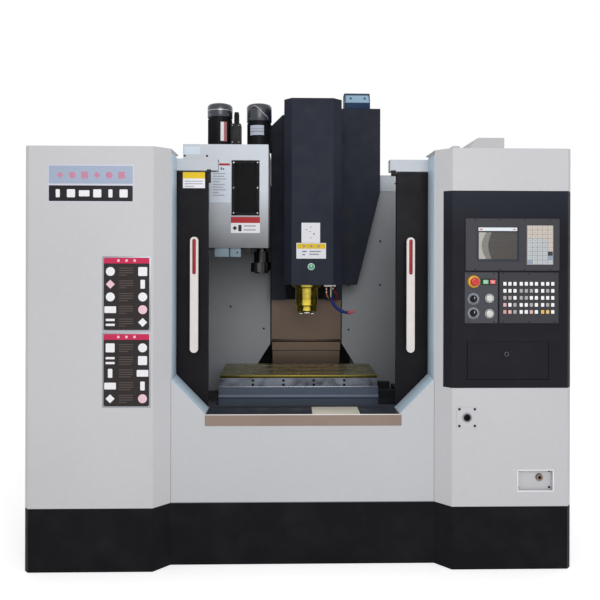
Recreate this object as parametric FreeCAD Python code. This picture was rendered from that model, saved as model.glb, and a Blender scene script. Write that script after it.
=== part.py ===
"""Vertical machining centre with sliding doors, arm tool changer and control panel.

Millimetres. X runs to the operator's right, Y towards the back, Z up.
The origin is the middle of the footprint, on the floor.
"""
import math
import os

import FreeCAD
import Part

V = FreeCAD.Vector
X_DIR, Y_DIR, Z_DIR = V(1, 0, 0), V(0, 1, 0), V(0, 0, 1)

# ---------------------------------------------------------------- driving sizes
WIDTH = 2600.0              # outside of the enclosure
HEIGHT = 2010.0             # cabinets, floor to roof
DEPTH = 2300.0              # front plane to the back of the electrical door
SHEET = 3.0                 # enclosure sheet
CORNER = 20.0               # small chamfer on the outer upright edges
PLINTH = 300.0              # black skirt height
SEAM = 2.0                  # gap round flush panels
RUNNING = 0.3               # clearance of turning and sliding fits
HAIR = 0.5                  # clearance between sliding plates

FRONT = -DEPTH / 2          # front plane of the two cabinets
BACK = DEPTH / 2
RECESS = 70.0               # centre section behind the front plane
FLANGE = 148.0              # depth of the inward flanges of the door opening
OPEN_LEFT, OPEN_RIGHT = -623.0, 655.0       # uprights of the door opening
SHOULDER_LEFT, SHOULDER_RIGHT = -695.0, 725.0   # where the slanted shoulders end
SILL = 726.0                # top of the front sill
SILL_LEFT, SILL_RIGHT = -459.0, 488.0       # level stretch of the sill
SLANT_TOP = 895.0           # where the slanted lower corners meet the uprights
LEDGE_DEPTH = 190.0         # folded ledge behind the sill
STRIP_HEIGHT, STRIP_THICK = 56.0, 2.0       # polished strip on the sill
CABINET_BACK = 640.0        # rear panels of the two cabinets
REAR_LEFT, REAR_RIGHT = -300.0, 412.0       # inner ends of those panels

# ---------------------------------------------------------------- doors
DOOR_WIDTH, DOOR_THICK = 700.0, 30.0
DOOR_TRAVEL = 479.0
DOOR_MEET = 16.0            # where the closed doors meet
RAIL_HEIGHT, RAIL_WALL, RAIL_SLOT = 60.0, 3.0, 14.0
RAIL_GAP = 6.0              # rail above the door's top
RAIL_DROP = 25.0            # rail's top below the roof
DOOR_TOP = HEIGHT - RAIL_DROP - RAIL_HEIGHT - RAIL_GAP
DOOR_BEHIND = 9.0           # door face behind the flange's rear edge
DOOR_SKIN = 2.0
TRACK_HEIGHT = 5.5
WINDOW_MARGIN = 170.0       # plain strip that carries the handle
WINDOW_WIDTH, WINDOW_LOW, WINDOW_HIGH = 470.0, 1050.0, DOOR_TOP - 159.0
WINDOW_THICK = 6.0
HANDLE_INSET = 65.0         # handle centre to the door's leading edge
HANDLE_WIDTH, HANDLE_THICK, HANDLE_STANDOFF = 40.0, 18.0, 30.0
HANDLE_LENGTH = 580.0
HANDLE_DROP = 24.5          # handle's middle below the middle of the door opening
HANDLE_LOW = (SILL + DOOR_TOP) / 2 - HANDLE_DROP - HANDLE_LENGTH / 2
HANDLE_HIGH = HANDLE_LOW + HANDLE_LENGTH
RAIL_SHOWS = 49.0           # rail past the open door's leading edge

# ---------------------------------------------------------------- machine axes
AXIS_X = 56.0               # centreline of column, head and spindle
SPINDLE_Y = -320.0
TABLE_X, TABLE_Y = 5.0, -310.0              # table centre at rest
TABLE_LENGTH, TABLE_DEPTH, TABLE_THICK = 900.0, 400.0, 65.0
TABLE_TOP = 814.0
SLOT_COUNT, SLOT_PITCH = 3, 125.0
SLOT_WIDTH, SLOT_NECK, SLOT_HEAD, SLOT_FOOT = 18.0, 18.0, 32.0, 14.0
STOP_HOLES_X = 174.0        # pitch of the pairs of tapped holes in the front edge
GUIDE_WIDTH, GUIDE_HEIGHT = 35.0, 34.0
TRUCK_WIDTH, TRUCK_LENGTH = 100.0, 120.0
TRUCK_SPREAD = 130.0        # truck centres to the middle of what they carry
X_GUIDE_SPREAD, Y_GUIDE_SPREAD, Z_GUIDE_SPREAD = 130.0, 230.0, 150.0
SADDLE_LENGTH, SADDLE_DEPTH = 1040.0, 380.0
SADDLE_LOW, SADDLE_TOP = 540.0, 680.0
SCREW_R, X_SCREW_Z, Y_SCREW_Z = 18.0, 650.0, 450.0

# ---------------------------------------------------------------- bed and column
FOOT_HEIGHT, FOOT_R = 60.0, 70.0
BED_TOP, BED_WALL = 480.0, 30.0
BED_WIDTH, BED_FRONT, BED_BACK = 700.0, -760.0, 760.0
COLUMN_WIDTH, COLUMN_FRONT, COLUMN_TOP = 400.0, 190.0, 2250.0
COLUMN_FOOT_BACK, COLUMN_TOP_BACK = 700.0, 480.0
COLUMN_WALL = 30.0

# ---------------------------------------------------------------- splash walls
WALL_LEFT, WALL_RIGHT = -745.0, 850.0       # inner side walls
WALL_Y = 110.0                              # rear walls
WALL_INNER_LEFT, WALL_INNER_RIGHT = -172.0, 304.0
WALL_TOP, WALL_BAND = HEIGHT + 24.0, 109.0
WALL_FOOT = 600.0
CHUTE_TOP = 560.0
CUT_WIDTH, CUT_LOW, CUT_HIGH = 80.0, 785.0, 912.0

# ---------------------------------------------------------------- head
HEAD_HALF = 120.0
NOSE_R, NOSE_LOW, NOSE_SEAT = 70.0, 1162.0, 1330.0
HEAD_DECK, MOTOR_FLANGE = 1580.0, 1700.0    # top of the nose bracket, foot of the spindle motor
SHAFT_R, TAPER_R, TAPER_LENGTH = 40.0, 22.2, 65.0
COVER_LEFT, COVER_RIGHT = -81.0, 254.0      # front cover of the head
COVER_FRONT, COVER_BACK, COVER_CHAMFER = -490.0, -60.0, 47.0
COVER_LOW, COVER_TOP = 1327.0, 2403.0
CARRIAGE_LOW, CARRIAGE_TOP = 1210.0, 1760.0
CARRIAGE_FRONT, CARRIAGE_BACK = 60.0, 100.0
SHROUD_LEFT, SHROUD_MID, SHROUD_RIGHT = -162.0, 291.0, 534.0    # rear shroud
SHROUD_BACK, SHROUD_LOW, SHROUD_TOP = 80.0, 1213.0, 2440.0
SHROUD_LEFT_TOP = 2397.0
SHROUD_KNEE, SHROUD_TOE_X, SHROUD_TOE_Z = 1904.0, 388.0, 1311.0
COOLER_LEFT, COOLER_RIGHT, COOLER_TOP = 305.0, 469.0, 2547.0
WAY_LEFT, WAY_RIGHT, WAY_Y = -164.0, 296.0, 96.0    # outermost way cover
WAY_SHEET, WAY_STEP, WAY_RETURN = 2.0, 2.5, 50.0
WAY_A = (929.0, CARRIAGE_LOW)
WAY_B = (870.0, 1106.0)
WAY_C = (690.0, 1014.0)

# ---------------------------------------------------------------- tool changer
MAG_LEFT, MAG_RIGHT = -641.0, -168.0
MAG_FRONT, MAG_BACK = -610.0, -30.0
MAG_LOW, MAG_TOP = 1538.0, 2113.0
MAG_AXIS_Z, MAG_SHAFT_R = 1826.0, 30.0
POT_COUNT, POT_CIRCLE, POT_R, POT_BORE, POT_LENGTH = 16, 222.0, 32.0, 22.2, 110.0
DISC_FACE, DISC_THICK = -352.0, 14.0
ARM_X, ARM_LOW, ARM_THICK = -216.0, 1405.0, 50.0
ARM_HUB_R, ARM_GRIP_R = 45.0, 33.0
CAM_LEFT, CAM_RIGHT, CAM_FRONT = -330.0, -174.0, -420.0
CAM_BACK = MAG_BACK - 3.0
BEAM_SPAN = (MAG_LOW + 60.0, MAG_LOW + 430.0)   # cast beam from the gearbox to the column
BEAM_LAP, BEAM_GAP = 140.0, 10.0            # beam along the column's side, clearance round it
MOTOR_1_X, MOTOR_2_X, MOTOR_R, MOTOR_HEIGHT = -465.0, -231.0, 73.0, 284.0
FIN_COUNT = 12

# ---------------------------------------------------------------- control panel
PANEL_TOP = HEIGHT - 205.0
PANEL_HEIGHT = 938.0
PANEL_LOW = PANEL_TOP - PANEL_HEIGHT
PANEL_WRAP_X = 691.0        # how far the black panel reaches onto the shoulder
PANEL_WRAP_Y = 80.0         # and round the outer corner
PANEL_BOX_DEPTH = 190.0
CNC = (787.0, 1237.0, PANEL_LOW + 559.0, PANEL_LOW + 807.0)     # x, x, z, z
SCREEN = (845.0, 1037.0, PANEL_LOW + 610.0, PANEL_LOW + 767.0)
KEYPAD = (1078.0, 1207.0, PANEL_LOW + 586.0, PANEL_LOW + 776.0)
PLATE = (784.0, 941.0, PANEL_LOW + 308.0, PANEL_LOW + 550.0)
KEYS = (950.0, 1234.0, PLATE[2], PLATE[3])
FLAP = (796.0, 1188.0, PANEL_LOW + 38.0, PANEL_LOW + 219.0)
FLAP_DEPTH = 90.0
FLAP_PIN_Y, FLAP_PIN_Z, FLAP_PIN_R = 7.0, 12.0, 2.5     # hinge pins, from the flap's low edge
CUTOUT_MARGIN = 10.0
PLATE_THICK, BEZEL_THICK = 3.0, 5.0
ESTOP = (826.0, PLATE[3] - 44.0)
POWER_ON, POWER_OFF = (881.0, PLATE[3] - 45.0), (915.0, PLATE[3] - 45.0)
KNOBS = ((825.0, PLATE[2] + 116.0), (825.0, PLATE[2] + 48.0))
ROUND_BUTTONS = ((901.0, PLATE[2] + 119.0), (901.0, PLATE[2] + 46.0))
ESTOP_R, ESTOP_REACH, STEM_R = 20.0, 38.0, 11.0
KNOB_R, KNOB_HEIGHT, KNOB_STEM_R = 16.5, 20.0, 5.0
ROUND_R, BUTTON_HEIGHT = 18.0, 9.0
POWER_WIDTH, POWER_HEIGHT = 27.0, 21.0
KEY_GROUPS, KEY_PITCH, KEY_GAP = (3, 4, 3), 24.3, 30.0
KEY_FIRST_X, KEY_LOW_Z, KEY_ROWS, KEY_ROW_PITCH = 975.0, KEYS[2] + 54.0, 5, 33.5
KEY_WIDTH, KEY_HEIGHT, KEY_RISE = 15.0, 18.0, 1.5

# ---------------------------------------------------------------- right cabinet
SOCKET_X, SOCKET_Z, SOCKET_SIZE, SOCKET_R = 796.0, PANEL_LOW - 142.0, 98.0, 15.0
HATCH = (1043.0, 1209.0, 375.0, 470.0)
HATCH_DEPTH = 24.0
DUCT = (906.0, 1039.0, 855.0)               # x of the box, x of its sloping foot
DUCT_RISE, DUCT_FOOT_RISE = 86.0, 22.0
DUCT_Y = (-950.0, -650.0)

# ---------------------------------------------------------------- electrical cabinet
EBOX_LEFT, EBOX_RIGHT, EBOX_LOW, EBOX_TOP = -444.0, 556.0, 420.0, 2000.0
EBOX_FRONT, EDOOR_THICK = 800.0, 20.0
LATCH_REACH = ESTOP_REACH   # keeps the origin in the middle of the depth
LATCH_X, LATCH_Z, LATCH_R = EBOX_RIGHT - 60.0, 1210.0, 10.0
HINGE_R, HINGE_PIN_R, HINGE_LENGTH = 8.0, 4.0, 45.0         # one knuckle of the door's hinges
HINGE_LEAF = 3.0
HINGE_Z = (EBOX_LOW + 180.0, EBOX_TOP - 270.0)
DEVICE_DEPTH, DEVICE_RISE = 100.0, 24.0     # depth of the devices, plate and rail behind them


# ================================================================ shape helpers
def box(x0, x1, y0, y1, z0, z1):
    """Block between two corners."""
    return Part.makeBox(x1 - x0, y1 - y0, z1 - z0, V(x0, y0, z0))


def block(cx, cy, z0, dx, dy, dz):
    """Block centred in plan on (cx, cy)."""
    return box(cx - dx / 2, cx + dx / 2, cy - dy / 2, cy + dy / 2, z0, z0 + dz)


def prism(points, direction):
    """Closed polygon of 3-D points, extruded."""
    wire = Part.makePolygon(points + [points[0]])
    return Part.Face(wire).extrude(direction)


def prism_xz(points, y0, y1):
    return prism([V(x, y0, z) for x, z in points], V(0, y1 - y0, 0))


def prism_xy(points, z0, z1):
    return prism([V(x, y, z0) for x, y in points], V(0, 0, z1 - z0))


def prism_yz(points, x0, x1):
    return prism([V(x0, y, z) for y, z in points], V(x1 - x0, 0, 0))


def cylinder(x, y, z, radius, length, axis=Z_DIR):
    return Part.makeCylinder(radius, length, V(x, y, z), axis)


def turned(profile, x, y, z, axis=Z_DIR):
    """Solid of revolution; profile lists (radius, height along the axis)."""
    points = [V(r, 0, h) for r, h in profile]
    face = Part.Face(Part.makePolygon(points + [points[0]]))
    solid = face.revolve(V(0, 0, 0), Z_DIR, 360)
    solid.Placement = FreeCAD.Placement(V(x, y, z), FreeCAD.Rotation(Z_DIR, axis))
    return solid


def flat_face(points):
    return Part.Face(Part.makePolygon(points + points[:1]))


def regular_ring(sides, radius, height):
    """Corners of a regular polygon whose flats face the axes."""
    angles = [2 * math.pi * (k + 0.5) / sides for k in range(sides)]
    return [V(radius * math.cos(a), radius * math.sin(a), height) for a in angles]


def many_sided(profile, x, y, z, axis=Z_DIR, sides=12):
    """Flat-sided body for small round forms; profile lists (radius, height along the axis)."""
    rings = [regular_ring(sides, r, h) for r, h in profile]
    faces = [flat_face(rings[0]), flat_face(rings[-1])]
    for low, high in zip(rings[:-1], rings[1:]):
        for k in range(sides):
            faces.append(flat_face([low[k - 1], low[k], high[k], high[k - 1]]))
    body = Part.makeSolid(Part.makeShell(faces)).removeSplitter()
    body.Placement = FreeCAD.Placement(V(x, y, z), FreeCAD.Rotation(Z_DIR, axis))
    return body


def bar(x, y, z, radius, length, axis=Z_DIR, sides=12):
    return many_sided([(radius, 0), (radius, length)], x, y, z, axis, sides)


def fuse(shapes):
    first, rest = shapes[0], shapes[1:]
    return first.fuse(rest).removeSplitter() if rest else first


def group(shapes):
    """Separate solids kept together in one node."""
    return Part.makeCompound(shapes)


def offset_path(points, thickness):
    """The path moved to its left by the sheet's thickness, with mitred bends."""
    count = len(points)
    moved = []
    for i, (x, y) in enumerate(points):
        normals = []
        for a, b in ((i - 1, i), (i, i + 1)):
            if a < 0 or b >= count:
                continue
            dx, dy = points[b][0] - points[a][0], points[b][1] - points[a][1]
            length = math.hypot(dx, dy)
            normals.append((-dy / length, dx / length))
        nx = sum(n[0] for n in normals)
        ny = sum(n[1] for n in normals)
        scale = thickness * len(normals) / (nx * nx + ny * ny)
        moved.append((x + nx * scale, y + ny * scale))
    return moved


def folded(points, thickness):
    """Outline of a folded sheet along an open path."""
    return points + offset_path(points, thickness)[::-1]


def edges_along(shape, axis):
    return [e for e in shape.Edges
            if len(e.Vertexes) == 2 and isinstance(e.Curve, Part.Line)
            and abs(abs(e.Curve.Direction.dot(axis)) - 1) < 1e-6]


def rounded(shape, radius, axis):
    """Round the straight edges that run along one axis."""
    return shape.makeFillet(radius, edges_along(shape, axis))


def bevelled(shape, size, axis):
    """Bevel the straight edges that run along one axis."""
    return shape.makeChamfer(size, edges_along(shape, axis))


def save(node, shape):
    shape.exportStep("parts/" + node + ".step")
    print(node, len(shape.Solids), "solid(s)", "valid" if shape.isValid() else "NOT VALID")


# ================================================================ enclosure
DOOR_FRONT = FRONT + RECESS + FLANGE + DOOR_BEHIND
DOOR_BACK = DOOR_FRONT + DOOR_THICK
FLANGE_BACK = FRONT + RECESS + FLANGE
WALL_FRONT = DOOR_BACK + 20.0


def cabinet_path(flange_x, shoulder_x, rear_x, side):
    """Plan of a cabinet's outer sheet, from the door opening round to the back."""
    outer = side * WIDTH / 2
    return [(flange_x, FLANGE_BACK), (flange_x, FRONT + RECESS), (shoulder_x, FRONT),
            (outer - side * CORNER, FRONT), (outer, FRONT + CORNER),
            (outer, CABINET_BACK - CORNER), (outer - side * CORNER, CABINET_BACK),
            (rear_x, CABINET_BACK)]


def cabinet_shell(path, side, wall_x):
    """Folded sheet and roof of one cabinet, open below and towards the machine."""
    sheet = prism_xy(folded(path, side * SHEET), PLINTH, HEIGHT)
    flange_x, rear_x = path[0][0], path[-1][0]
    back = WALL_Y + SHEET
    roof = path + [(rear_x, back), (wall_x, back), (wall_x, WALL_FRONT), (flange_x, WALL_FRONT)]
    shell = sheet.fuse(prism_xy(roof, HEIGHT - SHEET, HEIGHT))
    below = box(flange_x - 2 * SHEET, flange_x + 2 * SHEET, FRONT + RECESS + SHEET, FLANGE_BACK + 1,
                PLINTH - 1, SLANT_TOP)
    return shell.cut(below)


def left_cabinet():
    """Cabinet on the changer's side; its roof would make way for the changer's beam."""
    path = cabinet_path(OPEN_LEFT, SHOULDER_LEFT, REAR_LEFT, -1)
    low, high = BEAM_SPAN
    beam = box(CAM_LEFT - BEAM_GAP, CAM_RIGHT + BEAM_GAP, WALL_Y, COLUMN_FRONT + BEAM_LAP + BEAM_GAP,
               low - BEAM_GAP, high + BEAM_GAP)
    return cabinet_shell(path, -1, WALL_LEFT).cut(beam)


def panel_path(grow=0.0):
    """Plan of the black panel: on the shoulder, along the front and round the corner."""
    slope = RECESS / (SHOULDER_RIGHT - OPEN_RIGHT)
    start_x = PANEL_WRAP_X - grow
    start_y = FRONT + (SHOULDER_RIGHT - start_x) * slope
    return [(start_x, start_y), (SHOULDER_RIGHT, FRONT), (WIDTH / 2 - CORNER, FRONT),
            (WIDTH / 2, FRONT + CORNER), (WIDTH / 2, FRONT + PANEL_WRAP_Y + grow)]


def cable_duct():
    x0, x1, foot = DUCT
    rise = HEIGHT + DUCT_RISE
    return prism_xz([(foot, HEIGHT), (foot, HEIGHT + DUCT_FOOT_RISE), (x0, rise), (x1, rise),
                     (x1, HEIGHT)], *DUCT_Y)


def gland_hood():
    """Small sheet hood beside the duct."""
    foot = DUCT[2]
    return prism_xz([(foot - 90, HEIGHT), (foot - 66, HEIGHT + 52), (foot - 32, HEIGHT + 52),
                     (foot - 2, HEIGHT)], DUCT_Y[0] + 50, DUCT_Y[0] + 170)


def right_cabinet():
    path = cabinet_path(OPEN_RIGHT, SHOULDER_RIGHT, REAR_RIGHT, 1)
    shell = cabinet_shell(path, 1, WALL_RIGHT)
    window = folded(panel_path(SEAM), 2 * SHEET)
    shell = shell.cut(prism_xy(window, PANEL_LOW - SEAM, PANEL_TOP + SEAM))
    x0, x1, z0, z1 = HATCH
    tray = box(x0 - SHEET, x1 + SHEET, FRONT, FRONT + HATCH_DEPTH + SHEET, z0 - SHEET, z1 + SHEET)
    shell = shell.fuse(tray).cut(box(x0, x1, FRONT - 1, FRONT + HATCH_DEPTH, z0, z1))
    plate = block(SOCKET_X, FRONT - SHEET / 2, SOCKET_Z - SOCKET_SIZE / 2, SOCKET_SIZE, SHEET,
                  SOCKET_SIZE)
    shell = shell.fuse([plate, cable_duct(), gland_hood()])
    return shell.cut(cylinder(SOCKET_X, FRONT - 2 * SHEET, SOCKET_Z, SOCKET_R, 4 * SHEET, Y_DIR))


def front_apron():
    """Centre sheet below the doors, with folded ledge and folded slanted corners."""
    y = FRONT + RECESS
    face = prism_xz([(OPEN_LEFT, PLINTH), (OPEN_LEFT, SLANT_TOP), (SILL_LEFT, SILL),
                     (SILL_RIGHT, SILL), (OPEN_RIGHT, SLANT_TOP), (OPEN_RIGHT, PLINTH)],
                    y, y + SHEET)
    fold = [(OPEN_LEFT, SLANT_TOP), (SILL_LEFT, SILL), (SILL_RIGHT, SILL), (OPEN_RIGHT, SLANT_TOP)]
    lip = prism_xz(fold + offset_path(fold, -SHEET)[::-1], y, FLANGE_BACK)
    ledge = box(SILL_LEFT, SILL_RIGHT, y, y + LEDGE_DEPTH, SILL - SHEET, SILL)
    apron = fuse([face, lip, ledge])
    trim = [box(OPEN_LEFT - 50, OPEN_LEFT, y - 1, FLANGE_BACK + 1, PLINTH, HEIGHT),
            box(OPEN_RIGHT, OPEN_RIGHT + 50, y - 1, FLANGE_BACK + 1, PLINTH, HEIGHT)]
    return apron.cut(trim)


def sill_strip():
    y = FRONT + RECESS
    return box(SILL_LEFT, SILL_RIGHT + 7, y - STRIP_THICK, y, SILL - STRIP_HEIGHT, SILL)


def plinth_skirts():
    """Black skirts: two that follow the cabinets, one under the apron."""
    skirts = []
    for side, flange_x, shoulder_x, rear_x in ((-1, OPEN_LEFT, SHOULDER_LEFT, REAR_LEFT),
                                               (1, OPEN_RIGHT, SHOULDER_RIGHT, REAR_RIGHT)):
        path = cabinet_path(flange_x, shoulder_x, rear_x, side)
        path[0] = (flange_x, FRONT + RECESS + 30)
        skirts.append(prism_xy(folded(path, side * SHEET), 0, PLINTH))
    centre = box(OPEN_LEFT, OPEN_RIGHT, FRONT + RECESS, FRONT + RECESS + SHEET, 0, PLINTH)
    return group(skirts + [centre])


def splash_wall(side):
    """Inner side wall, rear wall with its top band, and the chute down to the bed."""
    wall_x = WALL_LEFT if side < 0 else WALL_RIGHT
    inner_x = WALL_INNER_LEFT if side < 0 else WALL_INNER_RIGHT
    bed_x = AXIS_X + side * BED_WIDTH / 2
    cut_x = inner_x + side * CUT_WIDTH
    x0, x1 = sorted((wall_x, wall_x + side * SHEET))
    side_wall = box(x0, x1, WALL_FRONT, WALL_Y + SHEET, CHUTE_TOP, HEIGHT - SHEET)
    outline = [(wall_x, WALL_FOOT), (cut_x, WALL_FOOT), (cut_x, CUT_LOW), (inner_x, CUT_HIGH),
               (inner_x, WALL_TOP), (wall_x, WALL_TOP)]
    rear = prism_xz(outline, WALL_Y, WALL_Y + SHEET)
    u0, u1 = sorted((wall_x, inner_x))
    band = box(u0, u1, WALL_Y - SHEET, WALL_Y, WALL_TOP - WALL_BAND, WALL_TOP)
    chute = prism_xz([(wall_x, CHUTE_TOP), (wall_x, CHUTE_TOP + SHEET), (bed_x, BED_TOP),
                      (bed_x, BED_TOP - SHEET)], WALL_FRONT, WALL_Y + SHEET)
    parts = [side_wall, rear, band, chute]
    wall = fuse(parts)
    if side < 0:
        notch = box(CAM_LEFT - 10, inner_x + 1, WALL_Y - 2 * SHEET, WALL_Y + 2 * SHEET,
                    MAG_LOW + 20, WALL_TOP + 1)
        wall = wall.cut(notch)
    return wall


def door_rails():
    """Two hollow upper rails with a slot for the hangers, and the lower guide bar."""
    z0 = DOOR_TOP + RAIL_GAP
    y_mid = (DOOR_FRONT + DOOR_BACK) / 2
    shapes = []
    for x0, x1 in ((-WIDTH / 2 + 3 * CORNER, OPEN_LEFT + WINDOW_MARGIN - 10 + RAIL_SHOWS),
                   (OPEN_RIGHT - WINDOW_MARGIN + 10 - RAIL_SHOWS + 14, WIDTH / 2 - 3 * CORNER)):
        rail = box(x0, x1, FLANGE_BACK, WALL_FRONT, z0, z0 + RAIL_HEIGHT)
        hollow = box(x0 - 1, x1 + 1, FLANGE_BACK + RAIL_WALL, WALL_FRONT - RAIL_WALL,
                     z0 + RAIL_WALL, z0 + RAIL_HEIGHT - RAIL_WALL)
        slot = box(x0 - 1, x1 + 1, y_mid - RAIL_SLOT / 2, y_mid + RAIL_SLOT / 2,
                   z0 - 1, z0 + RAIL_WALL + 1)
        shapes.append(rail.cut([hollow, slot]))
    reach = WIDTH / 2 - 5 * CORNER
    shapes.append(box(-reach, reach, y_mid - 9, y_mid + 9, SILL, SILL + TRACK_HEIGHT))
    return group(shapes)


# ================================================================ doors
def door_edges(side):
    """Leading and trailing x of a door, where it stands open."""
    lead = DOOR_MEET + side * DOOR_TRAVEL
    return lead, lead + side * DOOR_WIDTH


def window_span(side):
    lead, _ = door_edges(side)
    near = lead + side * WINDOW_MARGIN
    return sorted((near, near + side * WINDOW_WIDTH))


def door(side):
    """Folded sheet door with a window opening and two rail hangers."""
    lead, trail = door_edges(side)
    x0, x1 = sorted((lead, trail))
    w0, w1 = window_span(side)
    low = SILL + TRACK_HEIGHT + HAIR
    skin = DOOR_SKIN
    leaf = box(x0, x1, DOOR_FRONT, DOOR_BACK, low, DOOR_TOP)
    inside = box(x0 + skin, x1 - skin, DOOR_FRONT + skin, DOOR_BACK + 1, low + 40, DOOR_TOP - 40)
    frame = box(w0 - 25, w1 + 25, DOOR_FRONT, DOOR_FRONT + 12, WINDOW_LOW - 25, WINDOW_HIGH + 25)
    hole = box(w0, w1, DOOR_FRONT - 1, DOOR_BACK + 1, WINDOW_LOW, WINDOW_HIGH)
    leaf = leaf.cut(inside).fuse(frame).cut(hole)
    y_mid = (DOOR_FRONT + DOOR_BACK) / 2
    rail_floor = DOOR_TOP + RAIL_GAP + RAIL_WALL
    hangers = []
    for x in (trail - side * 80, lead + side * (WINDOW_MARGIN + 310)):
        hangers.append(block(x, y_mid, DOOR_TOP, 60, RAIL_SLOT - 4, RAIL_GAP + RAIL_WALL + 20))
        hangers.append(block(x, y_mid, rail_floor + RUNNING, 60, 34, 24))
    return leaf.fuse(hangers)


def door_window(side):
    """Clear pane set behind the window frame."""
    w0, w1 = window_span(side)
    y = DOOR_FRONT + 12
    return box(w0 - 18, w1 + 18, y, y + WINDOW_THICK, WINDOW_LOW - 18, WINDOW_HIGH + 18)


def door_handle(side):
    """Bow handle with round ends on two feet."""
    lead, _ = door_edges(side)
    x = lead + side * HANDLE_INSET
    r = HANDLE_WIDTH / 2
    front = DOOR_FRONT - HANDLE_STANDOFF - HANDLE_THICK
    grip = rounded(block(x, front + HANDLE_THICK / 2, HANDLE_LOW, HANDLE_WIDTH, HANDLE_THICK,
                         HANDLE_HIGH - HANDLE_LOW), r - HAIR, Y_DIR)
    feet = [bar(x, front + HANDLE_THICK / 2, z, r * 0.6, HANDLE_STANDOFF + HANDLE_THICK / 2, Y_DIR)
            for z in (HANDLE_LOW + r, HANDLE_HIGH - r)]
    return fuse([grip] + feet)


# ================================================================ bed and column
GUIDE_X = [AXIS_X - Y_GUIDE_SPREAD, AXIS_X + Y_GUIDE_SPREAD]
GUIDE_Y = [TABLE_Y - X_GUIDE_SPREAD, TABLE_Y + X_GUIDE_SPREAD]
GUIDE_Z_X = [AXIS_X - Z_GUIDE_SPREAD, AXIS_X + Z_GUIDE_SPREAD]
Z_SCREW_Y = COLUMN_FRONT - 40.0
SCREW_BLOCK = 40.0
Y_MOTOR_LENGTH, MOTOR_SIZE = 190.0, 130.0


def bed_casting():
    """Ribbed casting, hollow from below, with a trough for the ball screw."""
    x0, x1 = AXIS_X - BED_WIDTH / 2, AXIS_X + BED_WIDTH / 2
    w = BED_WALL
    bed = box(x0, x1, BED_FRONT, BED_BACK, FOOT_HEIGHT, BED_TOP)
    cells = []
    rib_y = [BED_FRONT + i * (BED_BACK - BED_FRONT) / 4 for i in range(5)]
    for y0, y1 in zip(rib_y[:-1], rib_y[1:]):
        for a, b in ((x0 + w, AXIS_X - 90 - w), (AXIS_X + 90 + w, x1 - w)):
            cells.append(box(a, b, y0 + w / 2, y1 - w / 2, FOOT_HEIGHT - 1, BED_TOP - w))
    trough = box(AXIS_X - 70, AXIS_X + 70, BED_FRONT + SCREW_BLOCK, COLUMN_FRONT - 2 * w,
                 Y_SCREW_Z - 50, BED_TOP + 1)
    core = [bar(x, BED_FRONT - 1, 250, 80, BED_WALL * 2, Y_DIR, 8)
            for x in (AXIS_X - 210, AXIS_X + 210)]
    bore = cylinder(AXIS_X, BED_FRONT - 1, Y_SCREW_Z, SCREW_R + RUNNING,
                    COLUMN_FRONT - BED_FRONT, Y_DIR)
    return bed.cut(cells + core + [trough, bore])


def levelling_feet():
    """Pads with their screws, under the ends of the bed's ribs."""
    feet, inset = [], 25.0
    for x in (AXIS_X - BED_WIDTH / 2 + inset, AXIS_X + BED_WIDTH / 2 - inset):
        for i in range(5):
            y = BED_FRONT + inset + i * (BED_BACK - BED_FRONT - 2 * inset) / 4
            feet.append(many_sided([(FOOT_R, 0), (FOOT_R, 14), (FOOT_R * 0.6, 26), (20, 26),
                                    (20, FOOT_HEIGHT)], x, y, 0, Z_DIR, 8))
    return group(feet)


def column_casting():
    """Tapered column with a base flange, side windows and inner ribs."""
    x0, x1 = AXIS_X - COLUMN_WIDTH / 2, AXIS_X + COLUMN_WIDTH / 2
    w = COLUMN_WALL
    side = [(COLUMN_FRONT, BED_TOP), (COLUMN_FRONT, COLUMN_TOP), (COLUMN_TOP_BACK, COLUMN_TOP),
            (COLUMN_FOOT_BACK, BED_TOP)]
    shell = prism_yz(side, x0, x1)
    inner = prism_yz([(COLUMN_FRONT + w, BED_TOP - 1), (COLUMN_FRONT + w, COLUMN_TOP - w),
                      (COLUMN_TOP_BACK - w, COLUMN_TOP - w), (COLUMN_FOOT_BACK - w, BED_TOP - 1)],
                     x0 + w, x1 - w)
    shell = shell.cut(inner)
    ribs = []
    for z in (900, 1300, 1700):
        rib = box(x0 + w, x1 - w, COLUMN_FRONT + w, COLUMN_FOOT_BACK, z, z + w)
        ribs.append(rib.common(inner).cut(block(AXIS_X, COLUMN_FRONT + 140, z - 1, 120, 120, w + 2)))
    shell = shell.fuse(ribs)
    windows = [bar(x0 - 1, COLUMN_FRONT + 170, z, 74, COLUMN_WIDTH + 2, X_DIR, 8)
               for z in (1110, 1510, 1900)]
    flange = box(x0 - 60, x1 + 60, COLUMN_FRONT, COLUMN_FOOT_BACK, BED_TOP, BED_TOP + 40)
    flange = flange.cut(box(x0 + w, x1 - w, COLUMN_FRONT + w, COLUMN_FOOT_BACK - w,
                            BED_TOP - 1, BED_TOP + 41))
    blocks = [block(AXIS_X, Z_SCREW_Y + 5, z, 110, 70, SCREW_BLOCK)
              for z in (1120, COLUMN_TOP - SCREW_BLOCK)]
    bore = cylinder(AXIS_X, Z_SCREW_Y, 1000, SCREW_R + RUNNING, COLUMN_TOP - 900)
    return shell.cut(windows).fuse([flange] + blocks).cut(bore).removeSplitter()


def base_rails():
    """Two guide rails on the bed and two on the column's face."""
    g = GUIDE_WIDTH / 2
    bed = [box(x - g, x + g, BED_FRONT + 30, COLUMN_FRONT - 60, BED_TOP, BED_TOP + GUIDE_HEIGHT)
           for x in GUIDE_X]
    column = [box(x - g, x + g, COLUMN_FRONT - GUIDE_HEIGHT, COLUMN_FRONT, 930, COLUMN_TOP - 20)
              for x in GUIDE_Z_X]
    return group(bed + column)


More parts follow.
